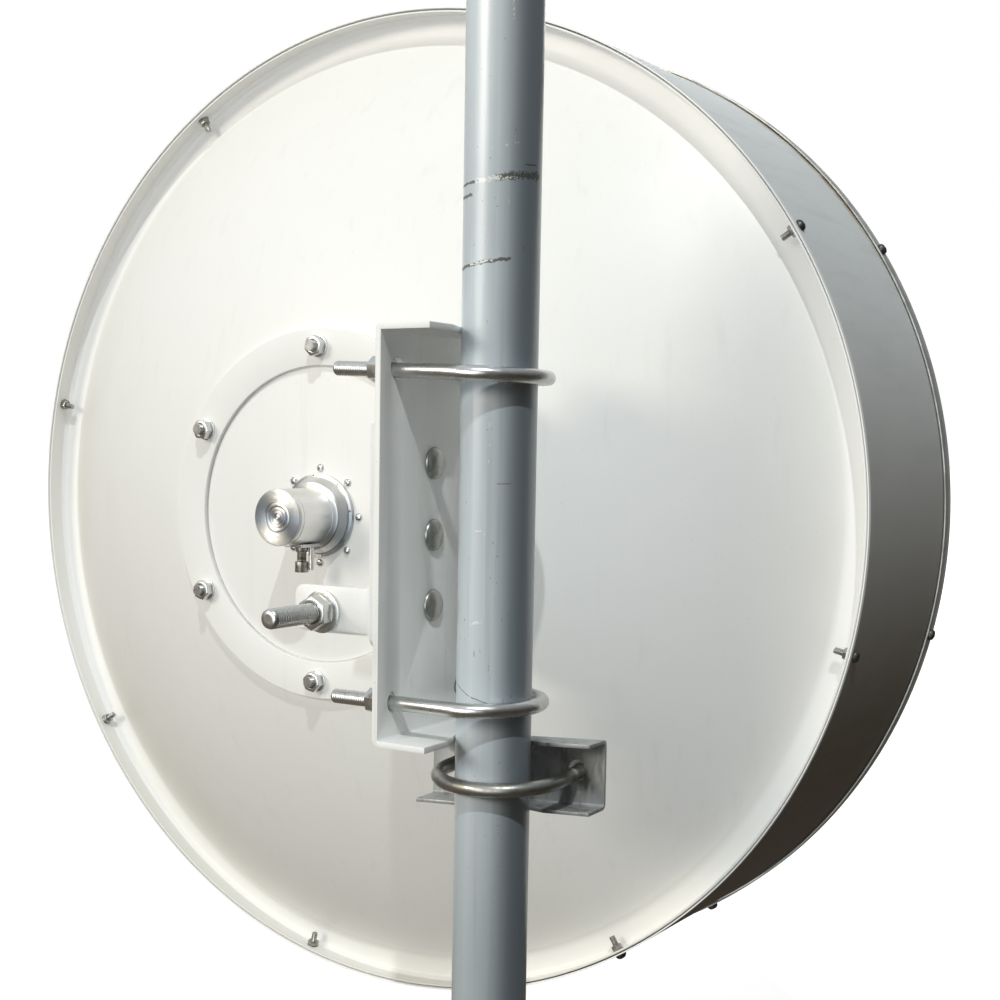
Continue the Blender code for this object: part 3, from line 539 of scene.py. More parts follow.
def radome_sheet():
    """Matt grey sheet of the front cover, with a fine woven grain and water marks."""
    recipe = Recipe("radome_sheet", colours().radome_sheet, 0.58)
    recipe.patches(0.12, (0.4, 0.7), 0.3, (0.54, 0.54, 0.51), (1, 1, 2), detail=4)
    recipe.patches(0.008, (0.58, 0.82), 0.2, (0.42, 0.41, 0.38), (1, 1, 22))
    recipe.rougher(recipe.noise(0.02, detail=2), 0.7)
    grain = {"Vector": recipe.object, "Scale": 160.0}
    lines = [recipe.node("ShaderNodeTexWave", grain, bands_direction=axis).outputs["Fac"] for axis in "XZ"]
    recipe.relief(recipe.maths("ADD", *lines), 0.00004)
    return recipe.done()


def band_metal():
    """Dull weathered metal of the band round the front cover."""
    recipe = Recipe("band_metal", colours().band_metal, 0.42, 0.6)
    blotches = recipe.patches(0.02, (0.42, 0.66), 0.4, (0.26, 0.24, 0.20), detail=4)
    recipe.rougher(recipe.step(blotches, 0.4, 0.7), 0.62)
    recipe.relief(recipe.noise(0.003, detail=2), 0.0001)
    return recipe.done()


def feed_aluminium():
    """Turned aluminium: fine rings about the dish axis, a light frost, a few stains and dark sectors painted
    on its end faces as reflection.
    """
    recipe = Recipe("feed_aluminium", colours().aluminium, 0.3, 1.0)
    radius = dish_radius(recipe)
    stains = recipe.patches(0.014, (0.55, 0.8), 0.25, (0.72, 0.71, 0.67))
    x, depth, z = recipe.split(recipe.place(centre=DISH))
    turn = recipe.maths("ARCTAN2", z, x)
    # Painted reflection: dark sectors across the turned faces stand in for their sheen
    painted_sheen = recipe.maths("COSINE", recipe.maths("MULTIPLY_ADD", turn, 2.0, -2 * PAINTED_SHEEN_ANGLE))
    cap = recipe.step(depth, FEED_END_Y + 0.004, FEED_END_Y + 0.003)
    ends = recipe.maths("MAXIMUM", cap, recipe.step(radius, 0.0262, 0.0268))
    recipe.tint(recipe.maths("MULTIPLY", ends, recipe.step(painted_sheen, 0.5, -0.9, 0.0, 0.8)), (0.30, 0.34, 0.39))
    blots = recipe.step(recipe.noise(0.009, centre=(0.1, 0, 0)), 0.6, 0.7, 0.0, 0.3)
    recipe.tint(recipe.maths("MULTIPLY", ends, blots), (0.62, 0.45, 0.30))
    rings = recipe.maths("SINE", recipe.maths("MULTIPLY", radius, 2 * math.pi / RING_SPACING))
    recipe.rougher(recipe.step(stains, 0.4, 0.8), 0.36)
    recipe.relief(rings, 0.00005)
    return recipe.done()


def zinc():
    """Bright zinc plate with a cloudy passivated bloom and small dull spots."""
    recipe = Recipe("zinc", colours().zinc, 0.27, 1.0)
    bloom = recipe.patches(0.007, (0.45, 0.75), 0.35, (0.62, 0.61, 0.57))
    recipe.patches(0.0015, (0.72, 0.76), 0.35, (0.36, 0.34, 0.30), detail=2)
    recipe.rougher(recipe.step(bloom, 0.35, 0.75), 0.36)
    recipe.relief(recipe.noise(0.003, detail=2), 0.00002)
    return recipe.done()


def galvanised():
    """Dull galvanised steel with spangle, white bloom and dark run marks."""
    recipe = Recipe("galvanised", colours().galvanised, 0.42, 0.5)
    cells = recipe.node("ShaderNodeTexVoronoi", {"Vector": recipe.object, "Scale": 160.0}).outputs["Color"]
    spangle = recipe.split(cells)[0]
    recipe.tint(recipe.step(spangle, 0.2, 0.9, 0.0, 0.25), (0.50, 0.52, 0.52))
    bloom = recipe.patches(0.02, (0.5, 0.72), 0.45, (0.56, 0.57, 0.55), detail=4)
    recipe.patches(0.0085, (0.5, 0.7), 0.55, (0.13, 0.12, 0.095), (1, 1, 5), detail=4, twist=0.4)
    recipe.rougher(recipe.step(bloom, 0.35, 0.7), 0.6)
    recipe.relief(recipe.noise(0.002), 0.0001)
    return recipe.done()


def dull_zinc():
    """Zinc that has gone grey and brownish outdoors."""
    recipe = Recipe("dull_zinc", (0.43, 0.43, 0.41), 0.3, 1.0)
    bloom = recipe.patches(0.009, (0.42, 0.66), 0.7, (0.27, 0.25, 0.21), detail=4)
    recipe.rougher(recipe.step(bloom, 0.35, 0.7), 0.46)
    recipe.relief(recipe.noise(0.002, detail=2), 0.00003)
    return recipe.done()


def dark_screws():
    """Near-black zinc screws, their dark colour a painted reflection of dark surroundings."""
    # Painted reflection: the near-black colour stands in for dark surroundings reflected in zinc
    recipe = Recipe("dark_screws", (0.10, 0.10, 0.095), 0.35, 0.9)
    recipe.patches(0.003, (0.45, 0.65), 0.5, (0.28, 0.27, 0.24))
    recipe.rougher(recipe.noise(0.002, detail=2), 0.55)
    return recipe.done()


def connector_metal():
    """Tarnished metal of the coaxial connector."""
    recipe = Recipe("connector_metal", colours().brass, 0.28, 1.0)
    tarnish = recipe.patches(0.005, (0.38, 0.6), 0.7, (0.13, 0.115, 0.095), detail=4)
    recipe.rougher(tarnish, 0.5)
    recipe.relief(recipe.noise(0.0012, detail=2), 0.00004)
    return recipe.done()


def floor_paint():
    """Plain pale floor."""
    recipe = Recipe("floor_paint", colours().floor, 0.7)
    recipe.patches(1.5, (0.4, 0.7), 0.2, (0.88, 0.88, 0.87), detail=2)
    recipe.shader.inputs["Emission Color"].default_value = (1.0, 0.99, 0.97, 1.0)
    recipe.shader.inputs["Emission Strength"].default_value = 0.5
    return recipe.done()


FINISHES = {
    made.__name__: made
    for made in (
        white_paint,
        mount_paint,
        pole_paint,
        shroud_paint,
        radome_sheet,
        band_metal,
        feed_aluminium,
        zinc,
        galvanised,
        dull_zinc,
        dark_screws,
        connector_metal,
        floor_paint,
    )
}


# Mesh helpers


def rounded(outline, radius, steps=3, closed=False):
    """The outline with each of its corners rounded off."""
    made = []
    count = len(outline)
    for n, corner in enumerate(outline):
        if not closed and n in (0, count - 1):
            made.append(corner)
            continue
        here = Vector(corner)
        before = Vector(outline[n - 1]) - here
        after = Vector(outline[(n + 1) % count]) - here
        if before.angle(after) > math.radians(160):
            made.append(corner)
            continue
        reach = min(radius, before.length * 0.48, after.length * 0.48)
        first, last = here + before.normalized() * reach, here + after.normalized() * reach
        for k in range(steps + 1):
            t = k / steps
            made.append(tuple((1 - t) ** 2 * first + 2 * t * (1 - t) * here + t**2 * last))
    return made


def arc(centre, radius, start, end, steps):
    """Points of an arc in a plane, with its angles in degrees."""
    turns = [math.radians(start + (end - start) * n / steps) for n in range(steps + 1)]
    return [(centre[0] + radius * math.cos(t), centre[1] + radius * math.sin(t)) for t in turns]


def rectangle(u, v):
    """Corners of a rectangle that reaches this far either way along u and v."""
    return [(-u, -v), (u, -v), (u, v), (-u, v)]


def cylinder(first, last, radius):
    """Profile of a solid disc or cylinder between two places on its axis."""
    return [(0, first), (radius, first), (radius, last), (0, last)]


def turned(profile, segments, origin=(0, 0, 0), axis=(0, 0, 1)):
    """A turned shape whose profile is (radius, distance along the axis), open only on the axis."""
    bm = bmesh.new()
    along = Vector(axis)
    side = Vector((0, 0, 1)) if abs(along.z) < 0.5 else Vector((1, 0, 0))
    across = along.cross(side)
    turns = [2 * math.pi * n / segments for n in range(segments)]
    rings = []
    for radius, distance in profile:
        centre = Vector(origin) + along * distance
        if radius == 0:
            rings.append([bm.verts.new(centre)])
            continue
        spokes = [math.cos(t) * side + math.sin(t) * across for t in turns]
        rings.append([bm.verts.new(centre + radius * spoke) for spoke in spokes])
    pairs = list(zip(rings, rings[1:]))
    if profile[0][0] > 0:
        pairs.append((rings[-1], rings[0]))
    for first, second in pairs:
        for n in range(segments):
            m = (n + 1) % segments
            if len(first) == 1:
                bm.faces.new((first[0], second[n], second[m]))
            elif len(second) == 1:
                bm.faces.new((first[n], first[m], second[0]))
            else:
                bm.faces.new((first[n], first[m], second[m], second[n]))
    return bm


def prism(outline, place, depth):
    """The outline's (u, v) points, put in space by place(u, v), and pushed out by the vector depth."""
    bm = bmesh.new()
    face = bm.faces.new([bm.verts.new(place(u, v)) for u, v in outline])
    pushed = bmesh.ops.extrude_face_region(bm, geom=[face])
    moved = [item for item in pushed["geom"] if isinstance(item, bmesh.types.BMVert)]
    bmesh.ops.translate(bm, verts=moved, vec=depth)
    return bm


def slab(outline, level, height):
    """The outline's (x, y) points on this level, pushed up by the height."""
    return prism(outline, lambda u, v: Vector((u, v, level)), Vector((0, 0, height)))


def linked(name, mesh):
    """An object at the origin that shows the mesh."""
    obj = bpy.data.objects.new(name, mesh)
    bpy.context.scene.collection.objects.link(obj)
    return obj


def shade(mesh, smooth_angle):
    """Shades the mesh smooth, but for the edges that turn by more than the angle."""
    mesh.shade_smooth()
    mesh.set_sharp_from_angle(angle=math.radians(smooth_angle))


def mesh_object(name, bm, finish_name, smooth_angle=SMOOTH_ANGLE):
    """An object from the bmesh, with its finish."""
    mesh = bpy.data.meshes.new(name)
    bm.to_mesh(mesh)
    bm.free()
    mesh.materials.append(material(finish_name))
    shade(mesh, smooth_angle)
    return linked(name, mesh)


def raw_object(name, bm, finish_name, smooth_angle=SMOOTH_ANGLE):
    """An object from the bmesh with its faces turned outward."""
    bmesh.ops.recalc_face_normals(bm, faces=bm.faces)
    return mesh_object(name, bm, finish_name, smooth_angle)


def loose_mesh(obj):
    """The object's mesh, with the object taken out of the scene."""
    mesh = obj.data
    bpy.data.objects.remove(obj)
    return mesh


def lit_pieces(light_name):
    """The collection that tells a light which pieces it lights, made when it is first asked for."""
    name = light_name + "_pieces"
    return bpy.data.collections.get(name) or bpy.data.collections.new(name)


def keep_shadows(obj):
    """Lights the object by the side light in place of the fill light, which casts no shadows."""
    lit_pieces("side_light").objects.link(obj)
    left_out = lit_pieces("fill_light")
    left_out.objects.link(obj)
    for item in left_out.collection_objects:
        item.light_linking.link_state = "EXCLUDE"


def settle(obj, nodes=()):
    """Ties a finished piece to the antenna, in place of the solids that it stands for."""
    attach(obj, "root")
    if nodes:
        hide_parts(*nodes)
    return obj


def boolean(obj, bm, operation):
    """Joins the bmesh to the object, cuts it out of it, or keeps what they share."""
    other = raw_object("tool", bm, "zinc")
    modifier = obj.modifiers.new("boolean", "BOOLEAN")
    modifier.operation = operation
    modifier.solver = "EXACT"
    modifier.object = other


def drill(obj, centre, axis, radius, length):
    """Cuts a round hole through the object, with its middle at the centre."""
    profile = cylinder(-length / 2, length / 2, radius)
    boolean(obj, turned(profile, 48, centre, axis), "DIFFERENCE")


def baked_mesh(obj, smooth_angle=SMOOTH_ANGLE):
    """Replaces the object by its evaluated mesh, without its tools, and returns that mesh."""
    bpy.context.view_layer.update()
    graph = bpy.context.evaluated_depsgraph_get()
    mesh = bpy.data.meshes.new_from_object(obj.evaluated_get(graph))
    mesh.name = obj.name
    tools = [m.object for m in obj.modifiers if m.type == "BOOLEAN"]
    bpy.data.objects.remove(obj)
    for tool in tools:
        bpy.data.objects.remove(tool)
    shade(mesh, smooth_angle)
    return mesh


def finished(name, blank):
    """The blank with its modifiers applied, under the piece's own name."""
    return linked(name, baked_mesh(blank))


def soften_edges(obj, width, segments=2):
    """Bevels the object's sharp edges."""
    bevel = obj.modifiers.new("edges", "BEVEL")
    bevel.width = width
    bevel.segments = segments
    bevel.limit_method = "ANGLE"
    bevel.angle_limit = math.radians(34)
    bevel.use_clamp_overlap = True
    bevel.harden_normals = False


def stacked(*parts):
    """Parts given as (mesh, height), as (mesh, matrix)."""
    return [(mesh, Matrix.Translation((0, 0, height))) for mesh, height in parts]


def joined(name, parts, finish_name, places=(Matrix(),)):
    """One object from the parts, each (mesh, matrix), set down together at each of the places."""
    bm = bmesh.new()
    for place in places:
        for mesh, own in parts:
            part = mesh.copy()
            part.transform(place @ own)
            bm.from_mesh(part)
            bpy.data.meshes.remove(part)
    return mesh_object(name, bm, finish_name)


def stand(location, axis, spin=0.0):
    """Matrix that puts +Z along the axis at the location, spun about it."""
    turn = Vector(axis).to_track_quat("Z", "Y").to_matrix().to_4x4()
    return Matrix.Translation(location) @ turn @ Matrix.Rotation(spin, 4, "Z")


def hexagon(flats, first=0):
    """Corners of a hexagon of this size across its flats."""
    radius = flats / math.sqrt(3)
    turns = [math.radians(first + 60 * n) for n in range(6)]
    return [(radius * math.cos(t), radius * math.sin(t)) for t in turns]


def nut_mesh(size, bore):
    """A hexagon nut on z = 0, chamfered at both ends, with a countersunk bore."""
    flats, height = size
    beyond = 0.001
    nut = raw_object("nut", slab(hexagon(flats), -beyond, height + 2 * beyond), "zinc", 20.0)
    corner = flats / math.sqrt(3) + 0.0002
    inner = flats / 2 * 0.95
    drop = (corner - inner) * math.tan(math.radians(30))
    sink = bore + 0.0007
    profile = [(bore, 0.0006), (sink, 0), (inner, 0), (corner, drop), (corner, height - drop)]
    profile += [(inner, height), (sink, height), (bore, height - 0.0006)]
    boolean(nut, turned(profile, 96), "INTERSECT")
    soften_edges(nut, 0.0002)
    return baked_mesh(nut)


def washer_mesh(size, bore, split=False):
    """A flat washer on z = 0, or a split spring washer."""
    radius, thickness = size
    profile = [(bore, 0), (radius, 0), (radius, thickness), (bore, thickness)]
    profile = rounded(profile, thickness * 0.25, 2, True)
    obj = raw_object("washer", turned(profile, 64), "zinc")
    if split:
        half, lean, beyond = 0.0005, 0.0008, 0.001
        near, far = bore * 0.7, radius * 1.2
        cut = [(near, -half), (far, -half), (far, half), (near, half)]
        push = Vector((0, 2 * lean, thickness + 2 * beyond))
        boolean(obj, prism(cut, lambda u, v: Vector((u, v - lean, -beyond)), push), "DIFFERENCE")
    return baked_mesh(obj)


def thread_radii(length, radius, pitch, depth, chamfer):
    """Profile of a threaded end of this length, as (radius, distance), ending at its chamfered tip."""
    made = []
    ridges = int(length / pitch)
    for n in range(ridges):
        start = n * pitch
        made += [(radius, start), (radius, start + pitch * 0.2)]
        made += [(radius - depth, start + pitch * 0.5), (radius - depth, start + pitch * 0.65)]
    tip = ridges * pitch
    return made + [(radius - depth * 0.4, tip), (radius - chamfer, length), (0, length)]


# Rings of like fixings, and bent rods


RING_INPUTS = {
    "Fixing": ("Geometry", None),
    "Count": ("Int", 8),
    "Circle Radius": ("Float", 0.1),
    "First Angle": ("Float", 0.0),
    "Centre": ("Vector", None),
    "Outward": ("Float", 0.0),
    "Forward": ("Float", -1.0),
    "Step Beyond": ("Float", 10.0),
    "Step Height": ("Float", 0.0),
    "Finish": ("Material", None),
}
ROD_INPUTS = {
    "Path": ("Geometry", None),
    "Radius": ("Float", 0.006),
    "Sides": ("Int", 32),
    "Finish": ("Material", None),
}


def new_tree(name, inputs):
    """A Geometry Nodes tree with these named inputs, each (kind, default), ready for its nodes."""
    tree = bpy.data.node_groups.new(name, "GeometryNodeTree")
    tree.is_modifier = True
    for label, (kind, default) in inputs.items():
        socket = tree.interface.new_socket(name=label, in_out="INPUT", socket_type="NodeSocket" + kind)
        if default is not None:
            socket.default_value = default
    tree.interface.new_socket(name="Geometry", in_out="OUTPUT", socket_type="NodeSocketGeometry")
    return Nodes(tree)


def end_tree(build, geometry, finish):
    """Ends the tree in real faces in place of instances, with the finish on them."""
    solid = build.node("GeometryNodeRealizeInstances", {0: geometry})
    painted = build.node("GeometryNodeSetMaterial", {"Geometry": solid.outputs[0], "Material": finish})
    build.node("NodeGroupOutput", {0: painted.outputs[0]})
    return build.tree


def fixing_ring_tree():
    """Geometry Nodes tree that sets copies of one fixing round the dish axis.

    Copies past Step Beyond, along +X, are moved by Step Height, because they stand on another plate.
    """
    found = bpy.data.node_groups.get("fixing_ring")
    if found:
        return found
    build = new_tree("fixing_ring", RING_INPUTS)
    maths = build.maths
    given = build.node("NodeGroupInput").outputs
    radius, outward = given["Circle Radius"], given["Outward"]
    points = build.node("GeometryNodePoints", {"Count": given["Count"]})
    index = build.node("GeometryNodeInputIndex").outputs[0]
    share = maths("DIVIDE", maths("MULTIPLY", index, 2 * math.pi), given["Count"])
    angle = maths("ADD", share, given["First Angle"])
    cosine, sine = maths("COSINE", angle), maths("SINE", angle)
    x, z = maths("MULTIPLY", cosine, radius), maths("MULTIPLY", sine, radius)
    step = maths("MULTIPLY", maths("GREATER_THAN", x, given["Step Beyond"]), given["Step Height"])
    spot = build.node("ShaderNodeCombineXYZ", {0: x, 1: step, 2: z})
    place = build.node("ShaderNodeVectorMath", {0: spot.outputs[0], 1: given["Centre"]}, operation="ADD")
    spots = {"Geometry": points.outputs[0], "Position": place.outputs[0]}
    moved = build.node("GeometryNodeSetPosition", spots)
    side, rise = maths("MULTIPLY", cosine, outward), maths("MULTIPLY", sine, outward)
    way = build.node("ShaderNodeCombineXYZ", {0: side, 1: given["Forward"], 2: rise})
    lean = build.node("FunctionNodeAlignRotationToVector", {"Vector": way.outputs[0]}, axis="Z")
    spin = build.node("FunctionNodeRandomValue", {2: 0.0, 3: 2 * math.pi, "Seed": 11}, data_type="FLOAT")
    about = build.node("FunctionNodeAxisAngleToRotation", {"Axis": (0, 0, 1), "Angle": spin.outputs[1]})
    turns = {0: lean.outputs[0], 1: about.outputs[0]}
    turn = build.node("FunctionNodeRotateRotation", turns, rotation_space="LOCAL")
    inputs = {"Points": moved.outputs[0], "Instance": given["Fixing"], "Rotation": turn.outputs[0]}
    copies = build.node("GeometryNodeInstanceOnPoints", inputs)
    return end_tree(build, copies.outputs[0], given["Finish"])


def bent_rod_tree():
    """Geometry Nodes tree that sweeps a round section along a curve, scaled by the curve's radius."""
    found = bpy.data.node_groups.get("bent_rod")
    if found:
        return found
    build = new_tree("bent_rod", ROD_INPUTS)
    given = build.node("NodeGroupInput").outputs
    section = {"Radius": given["Radius"], "Resolution": given["Sides"]}
    ring = build.node("GeometryNodeCurvePrimitiveCircle", section)
    share = build.node("GeometryNodeInputRadius")
    inputs = {"Curve": given["Path"], "Profile Curve": ring.outputs[0], "Scale": share.outputs[0]}
    sweep = build.node("GeometryNodeCurveToMesh", {**inputs, "Fill Caps": True})
    return end_tree(build, sweep.outputs[0], given["Finish"])


def run_tree(name, holder, tree, finish_name, smooth_angle=SMOOTH_ANGLE, **values):
    """The piece that a tree makes of the holder, with the values named after the tree's inputs."""
    modifier = holder.modifiers.new(tree.name, "NODES")
    modifier.node_group = tree
    values["finish"] = material(finish_name)
    for item in tree.interface.items_tree:
        key = item.name.replace(" ", "_").lower()
        if key in values:
            modifier[item.identifier] = values.pop(key)
    if values:
        raise ValueError(f"{tree.name} has no input {', '.join(values)}")
    mesh = baked_mesh(holder, smooth_angle)
    mesh.name = name
    mesh.materials.clear()
    mesh.materials.append(material(finish_name))
    return linked(name, mesh)


def fixing_ring(name, mesh, finish_name, **values):
    """One mesh with the fixing repeated round the dish axis."""
    return run_tree(name, linked(name + "_holder", mesh), fixing_ring_tree(), finish_name, **values)


def rim_fixings(name, mesh, finish_name, radius, y, outward=1.0):
    """The fixing at each of the rim's screws, on this circle, pointing out or in."""
    size = sizes()
    circle = {"circle_radius": radius, "centre": on_dish(0, y, 0), "outward": outward, "forward": 0.0}
    screws = {"count": size.rim_screws, "first_angle": size.rim_angle}
    settle(fixing_ring(name, mesh, finish_name, **circle, **screws))


def bent_rod(name, stations, radius, finish_name):
    """A round rod through the stations, each (place, share of the radius)."""
    curve = bpy.data.curves.new(name, "CURVE")
    curve.dimensions = "3D"
    spline = curve.splines.new("POLY")
    spline.points.add(len(stations) - 1)
    for point, (place, share) in zip(spline.points, stations):
        point.co = (*place, 1.0)
        point.radius = share
    return run_tree(name, linked(name + "_path", curve), bent_rod_tree(), finish_name, 50.0, radius=radius)


# Pieces


def build_pole():
    """Steel pipe, open at the top, with a disc welded flush into its foot."""
    inner, foot, steps = POLE_RADIUS - POLE_WALL, 0.006, 12
    wall = [(POLE_RADIUS, POLE_HEIGHT * n / steps) for n in range(steps + 1)]
    profile = [(0, 0), *wall, (inner, POLE_HEIGHT), (inner, foot), (0, foot)]
    shape = turned(rounded(profile, 0.0009), 128)
    pole = settle(raw_object("painted_pole", shape, "pole_paint"), ["pole"])
    keep_shadows(pole)


def dish_turned(name, profile, finish_name, segments=None):
    """A piece turned about the dish axis, with its profile as (radius, dish y)."""
    shape = turned(profile, segments or sizes().round_steps, DISH, (0, 1, 0))
    return raw_object(name, shape, finish_name)


def bowl_y(radius):
    """Dish y of the bowl's back, a paraboloid that starts at the flat's edge."""
    curve = (LIP_DEPTH - BOWL_BACK) / (BOWL_RADIUS**2 - FLAT_RADIUS**2)
    return BOWL_BACK + curve * (radius**2 - FLAT_RADIUS**2)


def shroud_radius(y):
    """Outer radius of the shroud at this dish y."""
    share = (y - SHROUD_REAR_Y) / (FRONT_Y - SHROUD_REAR_Y)
    return SHROUD_REAR_RADIUS + (SHROUD_FRONT_RADIUS - SHROUD_REAR_RADIUS) * share


def build_reflector():
    """Spun bowl with its flat back, the shelf at its rim and the lip turned back."""
    steps = 40
    radii = [FLAT_RADIUS + (BOWL_RADIUS - 0.004 - FLAT_RADIUS) * n / steps for n in range(steps + 1)]
    root = shroud_radius(LIP_DEPTH) - SHROUD_SHEET - GAP
    inner_root = root - SHEET
    back = [(0, BOWL_BACK), (FLAT_RADIUS * 0.5, BOWL_BACK)] + [(radius, bowl_y(radius)) for radius in radii]
    back += [(BOWL_RADIUS, LIP_DEPTH - 0.0008), (BOWL_RADIUS + 0.004, LIP_DEPTH)]
    back += [(inner_root - 0.004, LIP_DEPTH), (inner_root, LIP_DEPTH - 0.004), (LIP_RADIUS - SHEET, 0)]
    front = [(LIP_RADIUS, 0), (root, LIP_DEPTH - 0.002), (root - 0.004, LIP_DEPTH + SHEET)]
    front += [(BOWL_RADIUS + 0.002, LIP_DEPTH + SHEET), (BOWL_RADIUS - 0.002, LIP_DEPTH + SHEET - 0.002)]
    front += [(radius, bowl_y(radius) + SHEET * 1.15) for radius in reversed(radii)]
    front.append((0, BOWL_BACK + SHEET * 1.15))
    profile = rounded(back + front, 0.0012, 3)
    obj = dish_turned("spun_reflector", profile, "white_paint")
    settle(obj, ["reflector"])


def build_hub():
    """Flat ring and inner disc on the back of the reflector."""
    front = BOWL_BACK - GAP
    ring = [(HUB_INNER_RADIUS, front), (HUB_OUTER_RADIUS, front), (HUB_OUTER_RADIUS, HUB_BACK)]
    ring.append((HUB_INNER_RADIUS, HUB_BACK))
    obj = dish_turned("hub_clamp_ring", rounded(ring, 0.0009, 3, True), "white_paint", 192)
    settle(obj, ["hub_ring"])
    disc = cylinder(front, HUB_PLATE_BACK, HUB_INNER_RADIUS - HUB_SEAM)
    obj = dish_turned("hub_disc", rounded(disc, 0.0007), "white_paint", 192)
    settle(obj, ["hub_plate"])


def build_hub_bolts():
    """Washer, nut and threaded stud end at each bolt of the hub ring."""
    stud = [(0, 0.001)] + thread_radii(0.0150, M10_RADIUS, M10_PITCH, sizes().thread_depth, 0.0012)
    end = loose_mesh(raw_object("stud_end", turned(stud, 32), "zinc"))
    washer = washer_mesh(M10_WASHER, M10_RADIUS + 0.0002)
    nut = nut_mesh(M10_NUT, M10_RADIUS + 0.0001)
    parts = stacked((washer, 0), (nut, M10_WASHER[1] + 0.0001), (end, 0))
    obj = fixing_ring(
        "hub_bolts",
        loose_mesh(joined("hub_bolt", parts, "zinc")),
        "zinc",
        count=HUB_BOLTS,
        circle_radius=HUB_BOLT_CIRCLE,
        first_angle=math.radians(30),
        centre=on_dish(0, HUB_BACK - GAP, 0),
        step_beyond=FOOT_END_X,
        step_height=-BRACKET_SHEET - GAP,
    )
    settle(obj, [f"hub_bolt_{n + 1}" for n in range(HUB_BOLTS)])


def slotted_head(name, outline, slot_reach, slot_floor):
    """Mesh of a domed screw head on z = 0, its outline as (radius, height), with a slot across it."""
    head = raw_object(name, turned(rounded(outline, 0.0004), 32), "dark_screws")
    boolean(head, slab(rectangle(0.0009, slot_reach), slot_floor, 0.003), "DIFFERENCE")
    return baked_mesh(head)


def build_rim_screws():
    """Screws through shroud and lip: head outside, nut and thread end inside."""
    radius, y = sizes().m6_radius, sizes().rim_screw_y
    dome = [(0, 0.0046), (0.0022, 0.0044), (0.0042, 0.0034), (0.0054, 0.0014), (0.0055, 0.0003), (0, 0.0003)]
    head = slotted_head("rim_head", dome, 0.0045, 0.0028)
    rim_fixings("rim_screw_heads", head, "dark_screws", shroud_radius(y) - 0.0001, y)
    thread = [(0, -0.0005)] + thread_radii(0.0155, radius, M6_PITCH, 0.0003, 0.0008)
    shaft = loose_mesh(raw_object("rim_shaft", turned(thread, 24), "zinc"))
    washer = washer_mesh(M6_WASHER, radius + 0.0002)
    nut = nut_mesh(M6_NUT, radius + 0.0001)
    parts = stacked((washer, 0), (nut, M6_WASHER[1] + 0.0001), (shaft, 0))
    lip = shroud_radius(y) - SHROUD_SHEET - GAP - SHEET
    inner = loose_mesh(joined("rim_nut", parts, "dull_zinc"))
    rim_fixings("rim_screw_nuts", inner, "dull_zinc", lip + 0.0003, y, -1.0)


def build_shroud():
    """Sheet metal drum round the reflector, a little wider at the front."""
    front = FRONT_Y - RADOME_THICKNESS - GAP
    steps = 24
    levels = [SHROUD_REAR_Y + (front - SHROUD_REAR_Y) * n / steps for n in range(steps + 1)]
    outer = [(shroud_radius(y), y) for y in levels]
    inner = [(radius - SHROUD_SHEET, y) for radius, y in reversed(outer)]
    obj = dish_turned("shroud_drum", rounded(outer + inner, 0.0004, 2, True), "shroud_paint")
    settle(obj, ["shroud"])


def build_front():
    """Flat front cover, the band that holds it, and the band's screws."""
    back, ring = FRONT_Y - RADOME_THICKNESS, 0.2
    rim = BAND_RADIUS - BAND_SHEET - GAP
    cover = [(0, back), (ring, back), (rim, back), (rim, FRONT_Y), (ring, FRONT_Y), (0, FRONT_Y)]
    obj = dish_turned("radome_cover", rounded(cover, 0.001), "radome_sheet")
    settle(obj, ["radome"])
    inner = BAND_RADIUS - BAND_SHEET
    rear = FRONT_Y - BAND_WIDTH
    floor = BAND_RADIUS - 0.0006
    band = [(inner, rear), (BAND_RADIUS, rear), (BAND_RADIUS, rear + 0.004), (floor, rear + 0.0046)]
    band += [(floor, FRONT_Y - 0.0046), (BAND_RADIUS, FRONT_Y - 0.004), (BAND_RADIUS, FRONT_Y)]
    band.append((inner, FRONT_Y))
    obj = dish_turned("front_band", rounded(band, 0.0004, 2, True), "band_metal")
    settle(obj, ["radome_band"])
    dome = [(0, 0.0052), (0.0025, 0.0050), (0.0046, 0.0040), (0.0056, 0.0018)]
    dome += [(0.0056, -0.0004), (0, -0.0004)]
    head = slotted_head("band_head", dome, 0.0046, 0.0032)
    rim_fixings("band_screws", head, "dark_screws", floor, FRONT_Y - BAND_WIDTH / 2)


